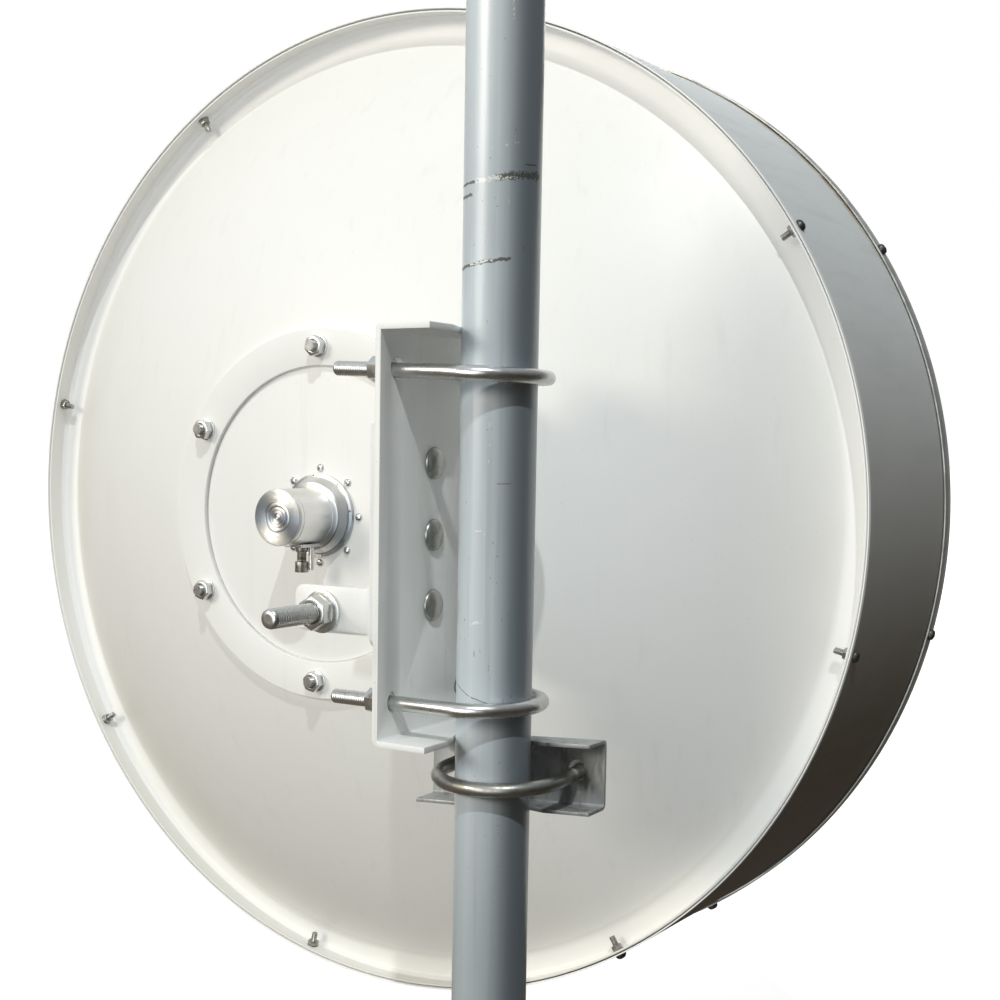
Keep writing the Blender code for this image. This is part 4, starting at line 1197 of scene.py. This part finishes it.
def build_feed():
    """Flange, collar, housing and end cap of the feed, one behind the other on the dish axis."""
    metal, segments = "feed_aluminium", 128
    front = HUB_PLATE_BACK - GAP
    back = front - FEED_FLANGE_THICKNESS
    flange = rounded(cylinder(front, back, FEED_FLANGE_RADIUS), 0.0006)
    plate = dish_turned("flange_plate", flange, metal, segments)
    holes, circle, hole_radius = 8, 0.0377, 0.0009
    for n in range(holes):
        turn = math.radians(8 + 360 * n / holes)
        centre = on_dish(circle * math.cos(turn), back, circle * math.sin(turn))
        drill(plate, centre, (0, 1, 0), hole_radius, 0.004)
    settle(finished("feed_flange_plate", plate), ["feed_flange"])
    front = back - GAP
    back = front - COLLAR_LENGTH
    collar = [(0, front), (COLLAR_FRONT_RADIUS, front), (COLLAR_FRONT_RADIUS, front - 0.0015)]
    collar += [(COLLAR_BACK_RADIUS + 0.0015, back + 0.001), (COLLAR_BACK_RADIUS, back), (0, back)]
    settle(dish_turned("feed_cone", rounded(collar, 0.0006), metal, segments), ["feed_collar"])
    front = back - GAP
    back = FEED_END_Y + END_CAP_LENGTH
    housing = rounded(cylinder(front, back, HOUSING_RADIUS), 0.0005)
    body = dish_turned("housing_blank", housing, metal, segments)
    seat = on_dish(0, CONNECTOR_Y, -HOUSING_RADIUS)
    outline = rectangle(*CONNECTOR_PLATE[:2])
    flat = prism(outline, lambda u, v: seat + Vector((u, v, -0.004)), Vector((0, 0, 0.005)))
    boolean(body, flat, "DIFFERENCE")
    settle(finished("feed_body", body), ["feed_housing"])
    front = back - GAP
    edge = HOUSING_RADIUS - 0.0005
    cap = [(0, front), (edge, front), (HOUSING_RADIUS, front - 0.0005), (HOUSING_RADIUS, FEED_END_Y)]
    for radius, depth in ((0.0136, 0.0006), (0.0099, 0.0006), (0.0064, 0.0003), (0.0028, 0.0011)):
        cap += [(radius + 0.0006, FEED_END_Y), (radius, FEED_END_Y + depth), (radius - 0.0006, FEED_END_Y)]
    cap.append((0, FEED_END_Y + 0.0003))
    settle(dish_turned("feed_cap", rounded(cap, 0.0008), metal, segments), ["feed_end_cap"])


def build_feed_screws():
    """Domed cross-head screws on the hub disc round the feed's flange."""
    radius, edge, rise = 0.0037, 0.0008, 0.0022
    head = [(radius * u, edge + rise * v) for u, v in arc((0, 0), 1.0, 90, 10, 6)] + [(radius, 0), (0, 0)]
    obj = raw_object("feed_head", turned(head, 32), "zinc")
    reach, half = 0.0018, 0.0004
    for u, v in ((reach, half), (half, reach)):
        boolean(obj, slab(rectangle(u, v), 0.0018, 0.002), "DIFFERENCE")
    screws = {"count": sizes().feed_screws, "circle_radius": sizes().feed_screw_circle}
    centre = on_dish(0, HUB_PLATE_BACK, 0)
    settle(fixing_ring("feed_screws", baked_mesh(obj), "zinc", centre=centre, **screws))


def build_connector():
    """Square flanged coaxial connector under the feed housing."""
    width, length, thickness = CONNECTOR_PLATE
    top = -HOUSING_RADIUS + 0.001 - GAP
    corner = on_dish(-width / 2, CONNECTOR_Y - length / 2, top - thickness)
    outline = rounded([(0, 0), (width, 0), (width, length), (0, length)], 0.002, 4, True)
    shape = prism(outline, lambda u, v: corner + Vector((u, v, 0)), Vector((0, 0, thickness)))
    plate = raw_object("plate_blank", shape, "feed_aluminium")
    soften_edges(plate, 0.0003)
    settle(finished("connector_flange", plate), ["connector_plate"])
    start = top - thickness - GAP
    length = start - CONNECTOR_END_Z
    barrel = [(0, 0), (0.0058, 0), (0.0058, 0.004), (0.0045, 0.0046)]
    pitch, first = 0.0009, 0.0052
    for n in range(int((length * 0.55 - first) / pitch)):
        at = first + n * pitch
        barrel += [(0.0045, at), (0.0045, at + pitch * 0.3), (0.0041, at + pitch * 0.6)]
    barrel += [(0.0045, length * 0.56), (0.0062, length * 0.58), (0.0062, length), (0.0038, length)]
    pin, pin_end, mouth = 0.0012, length - 0.0015, length - 0.005
    barrel += [(0.0038, mouth), (pin, mouth), (pin, pin_end), (0, pin_end)]
    down = (0, 0, -1)
    shape = turned(rounded(barrel, 0.0003, 2), 48, on_dish(0, CONNECTOR_Y, start), down)
    settle(raw_object("coax_connector", shape, "connector_metal"), ["feed_connector"])
    post = rounded(cylinder(0, length - 0.002, 0.0026), 0.0006)
    shape = turned(post, 32, on_dish(0.0080, CONNECTOR_Y + 0.0042, start), down)
    settle(raw_object("connector_post", shape, "feed_aluminium"))


def cut_notch(obj, towards, reach, bottom, top):
    """Cuts the V that seats on the pole, open towards this way and cut to the reach from its axis."""
    half_angle = math.radians(NOTCH_HALF_ANGLE)
    vertex = (POLE_RADIUS + GAP) / math.sin(half_angle)
    clear = 0.01
    depth = vertex + reach + clear
    spread = depth * math.tan(half_angle)
    ahead = Vector(towards)
    across = Vector((0, 0, 1)).cross(ahead)
    start = Vector((0, 0, DISH.z + bottom - clear)) - ahead * vertex
    outline = [(0, 0), (depth, -spread), (depth, spread)]
    push = Vector((0, 0, top - bottom + 2 * clear))
    boolean(obj, prism(outline, lambda u, v: start + ahead * u + across * v, push), "DIFFERENCE")


def build_channel():
    """Bent channel that seats on the pole with a V notch in each flange."""
    face, sheet = CHANNEL_FACE_X, CHANNEL_SHEET
    top, bottom, end = CHANNEL_TOP_Z, CHANNEL_BOTTOM_Z, CHANNEL_FLANGE_END_X
    back = face - sheet
    upper, lower = CHANNEL_TOP_BEND, CHANNEL_BOTTOM_BEND
    inner = lower - sheet
    section = [(end, top)]
    section += arc((back + upper, top - upper), upper, 90, 180, 10)
    section += arc((back + lower, bottom + lower), lower, 180, 270, 12)
    section += [(end, bottom), (end, bottom + sheet)]
    section += arc((face + inner, bottom + lower), inner, 270, 180, 8)
    section += [(face, top - sheet), (end, top - sheet)]
    push = Vector((0, CHANNEL_FAR_Y - CHANNEL_NEAR_Y, 0))
    body = prism(section, lambda u, v: on_dish(u, CHANNEL_NEAR_Y, v), push)
    channel = raw_object("channel_blank", body, "mount_paint")
    cut_notch(channel, (1, 0, 0), end + DISH.x, bottom, top)
    middle = face - sheet / 2
    for _, _, height in U_BOLT_ROWS.values():
        for y in (U_BOLT_HOLE_Y, -2 * DISH.y - U_BOLT_HOLE_Y):
            drill(channel, on_dish(middle, y, height), (1, 0, 0), U_BOLT_HOLE_RADIUS, 0.03)
    for z in CARRIAGE_BOLT_Z:
        drill(channel, on_dish(middle, CARRIAGE_BOLT_Y, z), (1, 0, 0), M10_RADIUS + GAP, 0.03)
    soften_edges(channel, sizes().edge)
    settle(finished("pole_channel", channel), ["mount_channel"])


def build_bracket():
    """Bent plate between the channel and the hub, with a tab for the strut's stud."""
    face, sheet = BRACKET_FACE_X, BRACKET_SHEET
    back = face - sheet
    inner = 0.003
    outer = inner + sheet
    foot_y = HUB_BACK - GAP
    bottom = -FOOT_HALF_HEIGHT
    section = [(FOOT_END_X, foot_y)]
    section += arc((face - outer, foot_y - outer), outer, 90, 0, 12)
    section += arc((face - outer, TAB_FRONT_Y + outer), outer, 0, -90, 12)
    section += [(TAB_END_X, TAB_FRONT_Y), (TAB_END_X, TAB_FRONT_Y + sheet)]
    section += arc((back - inner, TAB_FRONT_Y + outer), inner, -90, 0, 8)
    section += arc((back - inner, foot_y - outer), inner, 0, 90, 8)
    section.append((FOOT_END_X, foot_y - sheet))
    body = prism(section, lambda u, v: on_dish(u, v, bottom), Vector((0, 0, BRACKET_TOP_Z - bottom)))
    bracket = raw_object("bracket_blank", body, "mount_paint")

    def trim(outline):
        """Cuts this outline, given as (dish y, dish z), out of the bracket from side to side."""
        shape = prism(outline, lambda u, v: on_dish(FOOT_END_X - 0.01, u, v), Vector((0.12, 0, 0)))
        boolean(bracket, shape, "DIFFERENCE")

    over, front, shoulder = 0.2, -0.34, 0.084
    near = BRACKET_NEAR_Y
    top_cut = [(front, shoulder - 0.012), (near, shoulder - 0.012), (near, shoulder)]
    trim([*top_cut, (-0.2486, 0.118), (-0.2486, over), (front, over)])
    trim([(-0.209, 0.108), (-0.10, FOOT_HALF_HEIGHT), (-0.10, over), (-0.209, over)])
    corner, low = 0.012, -0.090
    curve = arc((near + corner, low + corner), corner, 180, 270, 10)
    trim([(front, low + corner), *curve, (-0.235, low), (-0.190, bottom), (-0.190, -over), (front, -over)])

    def trim_tab(outline):
        """Cuts this outline, given as (dish x, dish z), out of the tab's side of the bracket."""
        shape = prism(outline, lambda u, v: on_dish(u, front, v), Vector((0, 0.034, 0)))
        boolean(bracket, shape, "DIFFERENCE")

    side, far, bend = back + 0.001, FOOT_END_X - 0.01, 0.008
    top_corner = arc((TAB_END_X + bend, TAB_TOP_Z - bend), bend, 180, 90, 10)
    fillet = arc((side - 0.004, TAB_TOP_Z + 0.004), 0.004, 270, 360, 8)
    trim_tab([(far, TAB_TOP_Z - bend), *top_corner, *fillet, (side, over), (far, over)])
    bottom_corner = arc((TAB_END_X + bend, TAB_BOTTOM_Z + bend), bend, 180, 270, 10)
    lower = [(far, TAB_BOTTOM_Z + bend), *bottom_corner, (side, TAB_BOTTOM_Z), (side, -over), (far, -over)]
    trim_tab(lower)
    drill(bracket, on_dish(STUD_X, TAB_FRONT_Y + sheet / 2, STUD_Z), (0, 1, 0), M16_RADIUS + 0.0005, 0.02)
    for z in CARRIAGE_BOLT_Z:
        drill(bracket, on_dish(face - sheet / 2, CARRIAGE_BOLT_Y, z), (1, 0, 0), M10_RADIUS + GAP, 0.02)
    soften_edges(bracket, sizes().edge)
    settle(finished("hub_bracket", bracket), ["dish_bracket"])


def build_carriage_bolts():
    """Domed bolts through channel and bracket, each with its washer and nut behind."""
    radius, height = CARRIAGE_HEAD
    behind = CHANNEL_SHEET + BRACKET_SHEET + 2 * GAP
    head = [(radius * u, GAP + height * v) for u, v in arc((0, 0), 1.0, 90, 8, 12)] + [(radius, GAP)]
    thread = thread_radii(0.012, M10_RADIUS, M10_PITCH, 0.0004, 0.0012)
    thread = [(share, -behind - at) for share, at in thread]
    bolt = raw_object("dome_bolt", turned(head + [(M10_RADIUS, GAP)] + thread, 48), "zinc")
    bore = M10_RADIUS + 0.0001
    washer, nut = washer_mesh(CARRIAGE_WASHER, bore), nut_mesh(M10_THIN_NUT, bore)
    washer_z = -behind - CARRIAGE_WASHER[1]
    parts = stacked((loose_mesh(bolt), 0), (washer, washer_z), (nut, washer_z - M10_THIN_NUT[1]))
    seats = [(on_dish(CHANNEL_FACE_X, CARRIAGE_BOLT_Y, z), z * 40) for z in CARRIAGE_BOLT_Z]
    places = [stand(seat, (1, 0, 0), spin) for seat, spin in seats]
    obj = joined("carriage_bolts", parts, "dull_zinc", places)
    settle(obj, [f"carriage_bolt_{n + 1}" for n in range(len(CARRIAGE_BOLT_Z))])


def leg_stations(start, end, thread_length):
    """Stations of a straight leg that starts in a threaded tip: (place, share of the radius)."""
    share = sizes().thread_depth / M12_RADIUS
    start, end = Vector(start), Vector(end)
    along = (end - start).normalized()
    made = [(start, 0.78), (start + along * 0.0012, 1.0 - share * 0.6)]
    at = 0.0022
    while at < thread_length:
        for shift, depth in ((0.0, 0.0), (0.2, 0.0), (0.5, 1.0), (0.7, 1.0)):
            made.append((start + along * (at + shift * M12_PITCH), 1.0 - share * depth))
        at += M12_PITCH
    made.append((start + along * (at + 0.0006), 1.0))
    return made


def u_bolt(name, tips, bow, thread_length, finish_name):
    """A U-bolt: the bow's places, and a leg from either end of them to its threaded tip."""
    near, far = (leg_stations(tip, end, thread_length) for tip, end in zip(tips, (bow[0], bow[-1])))
    return bent_rod(name, near + [(place, 1.0) for place in bow] + far[::-1], M12_RADIUS, finish_name)


def u_bolt_nut():
    """Meshes of an M12 nut on its washer and spring washer, each with its place."""
    bore = M12_RADIUS + GAP
    flat, spring = washer_mesh(M12_WASHER, bore), washer_mesh(SPRING_WASHER, bore, True)
    seat = M12_WASHER[1] + SPRING_WASHER[1] - 0.0002
    return stacked((flat, 0), (spring, M12_WASHER[1]), (nut_mesh(M12_NUT, bore), seat))


def build_u_bolts():
    """Two U-bolts round the pole through the channel, with a nut on each leg."""
    bend = U_BOLT_SPACING / 2
    touch = -DISH.x + POLE_RADIUS + GAP + M12_RADIUS
    bow = arc((touch - bend, U_BOLT_NEAR_Y + bend), bend, -90, 90, 56)
    far_y = U_BOLT_NEAR_Y + U_BOLT_SPACING
    nut = u_bolt_nut()
    for row, (height, slope, _) in U_BOLT_ROWS.items():

        def place(x, y):
            """World place on the plane of this U-bolt."""
            return on_dish(x, y, height + slope * (x - U_BOLT_WEB_X))

        tips = [place(U_BOLT_END_X, y) for y in (bow[0][1], bow[-1][1])]
        rod = u_bolt(f"{row}_rod", tips, [place(x, y) for x, y in bow], 0.048, "zinc")
        settle(rod, [f"{row}_u_bolt"])
        seat = CHANNEL_FACE_X - CHANNEL_SHEET - GAP - M12_WASHER[0] * abs(slope)
        for side, y, spin in (("near", U_BOLT_NEAR_Y, 0.35), ("far", far_y, 0.1)):
            at = stand(place(seat, y), (-1, 0, -slope), spin)
            settle(joined(f"{row}_{side}_fixing", nut, "zinc", [at]), [f"{row}_{side}_nut"])


def build_clamp():
    """Galvanised channel behind the pole and the U-bolt that holds it there."""
    bend, sheet = CLAMP_BEND, CLAMP_SHEET
    inner = bend - sheet
    top, bottom, lip = CLAMP_TOP_Z, CLAMP_BOTTOM_Z, CLAMP_NEAR_Y
    web_back = CLAMP_WEB_Y + sheet
    section = [(lip, top)]
    section += arc((web_back - bend, top - bend), bend, 90, 0, 10)
    section += arc((web_back - bend, bottom + bend), bend, 0, -90, 10)
    section += [(lip, bottom), (lip, bottom + sheet)]
    section += arc((CLAMP_WEB_Y - inner, bottom + bend), inner, -90, 0, 8)
    section += arc((CLAMP_WEB_Y - inner, top - bend), inner, 0, 90, 8)
    section.append((lip, top - sheet))
    drop = CLAMP_SLOPE * (CLAMP_LEFT_X + DISH.x)
    length = CLAMP_RIGHT_X - CLAMP_LEFT_X
    run = Vector((length, 0, CLAMP_SLOPE * length))
    body = prism(section, lambda u, v: on_dish(CLAMP_LEFT_X, u, v + drop), run)
    channel = raw_object("clamp_blank", body, "galvanised")
    cut_notch(channel, (0, -1, 0), -(lip + DISH.y), bottom, top)
    for x in CLAMP_LEGS_X:
        drill(channel, on_dish(x, web_back - sheet / 2, CLAMP_HOLE_Z), (0, 1, 0), U_BOLT_HOLE_RADIUS, 0.012)
    soften_edges(channel, 0.0003)
    saddle = settle(finished("clamp_saddle", channel), ["clamp_channel"])
    keep_shadows(saddle)
    left, right = CLAMP_LEGS_X
    turn_radius, middle = (right - left) / 2, (left + right) / 2
    reach = turn_radius - M12_RADIUS - POLE_RADIUS - GAP
    centre_y = -DISH.y + math.sqrt(reach**2 - (middle + DISH.x) ** 2)
    bow = arc((middle, centre_y), turn_radius, 180, 360, 56)
    slope = CLAMP_U_BOLT_SLOPE

    def place(x, y):
        """World place on the aslant plane of the U-bolt."""
        return on_dish(x, y, CLAMP_U_BOLT_Z + slope * (y - CLAMP_WEB_Y))

    tips = [place(x, web_back + 0.028) for x in CLAMP_LEGS_X]
    rod = u_bolt("clamp_rod", tips, [place(x, y) for x, y in bow], 0.038, "dull_zinc")
    settle(rod, ["clamp_u_bolt"])
    nut = u_bolt_nut()
    seat = web_back + GAP + M12_WASHER[0] * slope
    for side, x in zip(("left", "right"), CLAMP_LEGS_X):
        at = stand(place(x, seat), (0, 1, slope), 0.2)
        settle(joined(f"clamp_{side}_fixing", nut, "zinc", [at]), [f"clamp_{side}_nut"])


def build_stud():
    """Threaded stud in the bracket's tab, with its washer and nuts."""
    radius, depth = M16_RADIUS, sizes().thread_depth
    rod = [(0, STUD_FRONT_Y), (radius - 0.0015, STUD_FRONT_Y)]
    at = STUD_FRONT_Y - 0.0015
    while at > STUD_BACK_Y + 0.004:
        rod += [(radius, at), (radius, at - M16_PITCH * 0.2)]
        rod += [(radius - depth, at - M16_PITCH * 0.5), (radius - depth, at - M16_PITCH * 0.7)]
        at -= M16_PITCH
    rod += [(radius, STUD_BACK_Y + 0.0034), (radius - 0.0006, STUD_BACK_Y + 0.0014)]
    rod += [(radius - 0.0024, STUD_BACK_Y + 0.0002), (0.0030, STUD_BACK_Y), (0, STUD_BACK_Y + 0.0003)]
    shape = turned(rod, 48, on_dish(STUD_X, 0, STUD_Z), (0, 1, 0))
    settle(raw_object("threaded_stud", shape, "zinc", 50.0), ["strut_stud"])
    bore = radius + GAP
    washer, nut = washer_mesh(M16_WASHER, bore), nut_mesh(M16_NUT, bore)
    front = TAB_FRONT_Y - GAP
    fixings = {
        "stud_washer": ("stud_flat_washer", washer, front, -1, 0),
        "stud_nut": ("stud_lock_nut", nut, front - M16_WASHER[1] - GAP, -1, 30),
        "stud_back_nut": ("stud_inner_nut", nut, TAB_FRONT_Y + BRACKET_SHEET + GAP, 1, 30),
    }
    for node, (name, mesh, y, way, spin) in fixings.items():
        at = stand(on_dish(STUD_X, y, STUD_Z), (0, way, 0), math.radians(spin))
        settle(joined(name, stacked((mesh, 0)), "zinc", [at]), [node])


def camera_axes(yaw, pitch, roll):
    """Right, down and forward of a camera, from its angles in radians."""
    forward = Vector((-math.sin(yaw) * math.cos(pitch), math.cos(yaw) * math.cos(pitch), -math.sin(pitch)))
    level = Vector((math.cos(yaw), math.sin(yaw), 0))
    down = forward.cross(level)
    right = math.cos(roll) * level + math.sin(roll) * down
    return right, math.cos(roll) * down - math.sin(roll) * level, forward


def build_stage():
    """Pale floor, the studio lights, pale surroundings and the camera."""
    scene = bpy.context.scene
    floor = raw_object("floor", turned(cylinder(-0.02, -0.0004, FLOOR_RADIUS), 64), "floor_paint")
    floor.visible_diffuse = False
    floor.visible_glossy = False
    build_camera(scene)
    # A warm key from the left, a fill that opens up the shade behind the mount, a side light that takes
    # its place on the pole and the clamp, a small high light over the camera that draws the crisp
    # shadows of channel and U-bolts, and a soft one on the front of the dish
    lights = {name: build_light(name, *values) for name, values in LIGHTS.items()}
    lights["fill_light"].data.use_shadow = False
    for name in ("fill_light", "side_light"):
        lights[name].light_linking.receiver_collection = lit_pieces(name)
    build_surroundings(scene)
    scene.view_settings.view_transform = "Standard"


def build_camera(scene):
    """The camera at the photograph's angle."""
    right, down, forward = camera_axes(CAMERA_YAW, CAMERA_PITCH, CAMERA_ROLL)
    data = bpy.data.cameras.new("photo_camera")
    data.sensor_width = 36
    data.lens = CAMERA_LENS
    data.shift_y = CAMERA_SHIFT_Y
    data.clip_start = 0.02
    data.clip_end = 200
    camera = linked("photo_camera", data)
    place = Matrix((right, -down, -forward)).transposed().to_4x4()
    place.translation = on_dish(*CAMERA_PLACE)
    camera.matrix_world = place
    scene.camera = camera


def build_light(name, energy, width, azimuth, height, colour):
    """A distant light of this angular width, at this azimuth right of straight behind, in degrees."""
    sun = bpy.data.lights.new(name, "SUN")
    sun.energy = energy
    sun.angle = math.radians(width)
    sun.color = colour
    light = linked(name, sun)
    turn, rise = math.radians(azimuth), math.radians(height)
    way = Vector((math.sin(turn) * math.cos(rise), -math.cos(turn) * math.cos(rise), math.sin(rise)))
    light.rotation_euler = way.to_track_quat("Z", "Y").to_euler()
    light.location = way * 5
    return light


def build_surroundings(scene):
    """Light from all round, stronger from above and from the left, on a plain white backdrop."""
    world = bpy.data.worlds.new("studio")
    scene.world = world
    world.use_nodes = True
    sky = Nodes(world.node_tree)
    x, _, z = sky.split(sky.node("ShaderNodeTexCoord").outputs["Generated"])
    ramp = sky.node("ShaderNodeValToRGB", {0: sky.step(z, -1.0, 1.0, kind="LINEAR")})
    stops = ramp.color_ramp.elements
    while len(stops) < len(SKY_COLOURS):
        stops.new(0.5)
    for stop, (position, colour) in zip(stops, SKY_COLOURS):
        stop.position = position
        stop.color = (*colour, 1.0)
    side = sky.step(x, -1.0, 1.0, 1.5, 0.5, kind="LINEAR")
    gleam = sky.step(x, -1.0, 0.1, 0.6, 0.0, kind="LINEAR")
    seen = sky.node("ShaderNodeLightPath").outputs
    strength = sky.maths("MULTIPLY_ADD", seen["Is Glossy Ray"], gleam, side)
    soft = world.node_tree.nodes["Background"]
    sky.feed(soft.inputs["Color"], ramp.outputs[0])
    sky.feed(soft.inputs["Strength"], strength)
    white = sky.node("ShaderNodeBackground", {"Color": (1.0, 1.0, 1.0, 1.0)})
    shares = {0: seen["Is Camera Ray"], 1: soft.outputs[0], 2: white.outputs[0]}
    both = sky.node("ShaderNodeMixShader", shares)
    sky.feed(world.node_tree.nodes["World Output"].inputs["Surface"], both.outputs[0])


# Add-on


class DISH_OT_stage(bpy.types.Operator):
    """Make the floor, the lights and the camera"""

    bl_idname = "dish.stage"
    bl_label = "Stage"

    def execute(self, context):
        build_stage()
        return {"FINISHED"}


class DISH_OT_pole(bpy.types.Operator):
    """Make the painted steel pole"""

    bl_idname = "dish.pole"
    bl_label = "Pole"

    def execute(self, context):
        build_pole()
        return {"FINISHED"}


class DISH_OT_reflector(bpy.types.Operator):
    """Make the spun reflector"""

    bl_idname = "dish.reflector"
    bl_label = "Reflector"

    def execute(self, context):
        build_reflector()
        return {"FINISHED"}


class DISH_OT_hub(bpy.types.Operator):
    """Make the ring and the disc on the reflector's back"""

    bl_idname = "dish.hub"
    bl_label = "Hub"

    def execute(self, context):
        build_hub()
        return {"FINISHED"}


class DISH_OT_hub_bolts(bpy.types.Operator):
    """Make the bolts on the hub ring"""

    bl_idname = "dish.hub_bolts"
    bl_label = "Hub bolts"

    def execute(self, context):
        build_hub_bolts()
        return {"FINISHED"}


class DISH_OT_rim_screws(bpy.types.Operator):
    """Make the screws through the reflector's lip"""

    bl_idname = "dish.rim_screws"
    bl_label = "Rim screws"

    def execute(self, context):
        build_rim_screws()
        return {"FINISHED"}


class DISH_OT_shroud(bpy.types.Operator):
    """Make the drum round the reflector"""

    bl_idname = "dish.shroud"
    bl_label = "Shroud"

    def execute(self, context):
        build_shroud()
        return {"FINISHED"}


class DISH_OT_front(bpy.types.Operator):
    """Make the front cover, its band and the band's screws"""

    bl_idname = "dish.front"
    bl_label = "Front"

    def execute(self, context):
        build_front()
        return {"FINISHED"}


class DISH_OT_feed(bpy.types.Operator):
    """Make the turned parts of the feed"""

    bl_idname = "dish.feed"
    bl_label = "Feed"

    def execute(self, context):
        build_feed()
        return {"FINISHED"}


class DISH_OT_feed_screws(bpy.types.Operator):
    """Make the screws round the feed"""

    bl_idname = "dish.feed_screws"
    bl_label = "Feed screws"

    def execute(self, context):
        build_feed_screws()
        return {"FINISHED"}


class DISH_OT_connector(bpy.types.Operator):
    """Make the coaxial connector"""

    bl_idname = "dish.connector"
    bl_label = "Connector"

    def execute(self, context):
        build_connector()
        return {"FINISHED"}


class DISH_OT_channel(bpy.types.Operator):
    """Make the channel that seats on the pole"""

    bl_idname = "dish.channel"
    bl_label = "Channel"

    def execute(self, context):
        build_channel()
        return {"FINISHED"}


class DISH_OT_bracket(bpy.types.Operator):
    """Make the bracket between the channel and the hub"""

    bl_idname = "dish.bracket"
    bl_label = "Bracket"

    def execute(self, context):
        build_bracket()
        return {"FINISHED"}


class DISH_OT_carriage_bolts(bpy.types.Operator):
    """Make the bolts between the channel and the bracket"""

    bl_idname = "dish.carriage_bolts"
    bl_label = "Carriage bolts"

    def execute(self, context):
        build_carriage_bolts()
        return {"FINISHED"}


class DISH_OT_u_bolts(bpy.types.Operator):
    """Make the mount's U-bolts and their nuts"""

    bl_idname = "dish.u_bolts"
    bl_label = "U-bolts"

    def execute(self, context):
        build_u_bolts()
        return {"FINISHED"}


class DISH_OT_clamp(bpy.types.Operator):
    """Make the lower clamp and its U-bolt"""

    bl_idname = "dish.clamp"
    bl_label = "Clamp"

    def execute(self, context):
        build_clamp()
        return {"FINISHED"}


class DISH_OT_stud(bpy.types.Operator):
    """Make the strut's stud with its washer and nuts"""

    bl_idname = "dish.stud"
    bl_label = "Stud"

    def execute(self, context):
        build_stud()
        return {"FINISHED"}


# In the order in which the pieces are made
OPERATORS = (
    DISH_OT_stage,
    DISH_OT_pole,
    DISH_OT_reflector,
    DISH_OT_hub,
    DISH_OT_hub_bolts,
    DISH_OT_rim_screws,
    DISH_OT_shroud,
    DISH_OT_front,
    DISH_OT_feed,
    DISH_OT_feed_screws,
    DISH_OT_connector,
    DISH_OT_channel,
    DISH_OT_bracket,
    DISH_OT_carriage_bolts,
    DISH_OT_u_bolts,
    DISH_OT_clamp,
    DISH_OT_stud,
)


class DISH_PT_panel(bpy.types.Panel):
    """Sizes, colours and pieces of the dish antenna"""

    bl_idname = "DISH_PT_panel"
    bl_label = "Dish antenna"
    bl_space_type = "VIEW_3D"
    bl_region_type = "UI"
    bl_category = "Dish antenna"

    def draw(self, context):
        """Lists the settings, then a button for each piece."""
        layout = self.layout
        for group in (context.scene.dish_colours, context.scene.dish_sizes):
            column = layout.column()
            for name in group.__annotations__:
                column.prop(group, name)
        column = layout.column()
        for operator in OPERATORS:
            column.operator(operator.bl_idname)


CLASSES = (DishColours, DishSizes, *OPERATORS, DISH_PT_panel)


def register():
    """Adds the classes and the panel's settings."""
    for cls in CLASSES:
        bpy.utils.register_class(cls)
    bpy.types.Scene.dish_colours = PointerProperty(type=DishColours)
    bpy.types.Scene.dish_sizes = PointerProperty(type=DishSizes)


def unregister():
    """Takes the classes and the panel's settings out again."""
    del bpy.types.Scene.dish_sizes
    del bpy.types.Scene.dish_colours
    for cls in reversed(CLASSES):
        bpy.utils.unregister_class(cls)


def main():
    """Builds the antenna over its solids."""
    register()
    for operator in OPERATORS:
        getattr(bpy.ops.dish, operator.bl_idname.removeprefix("dish."))()


if __name__ == "__main__":
    main()
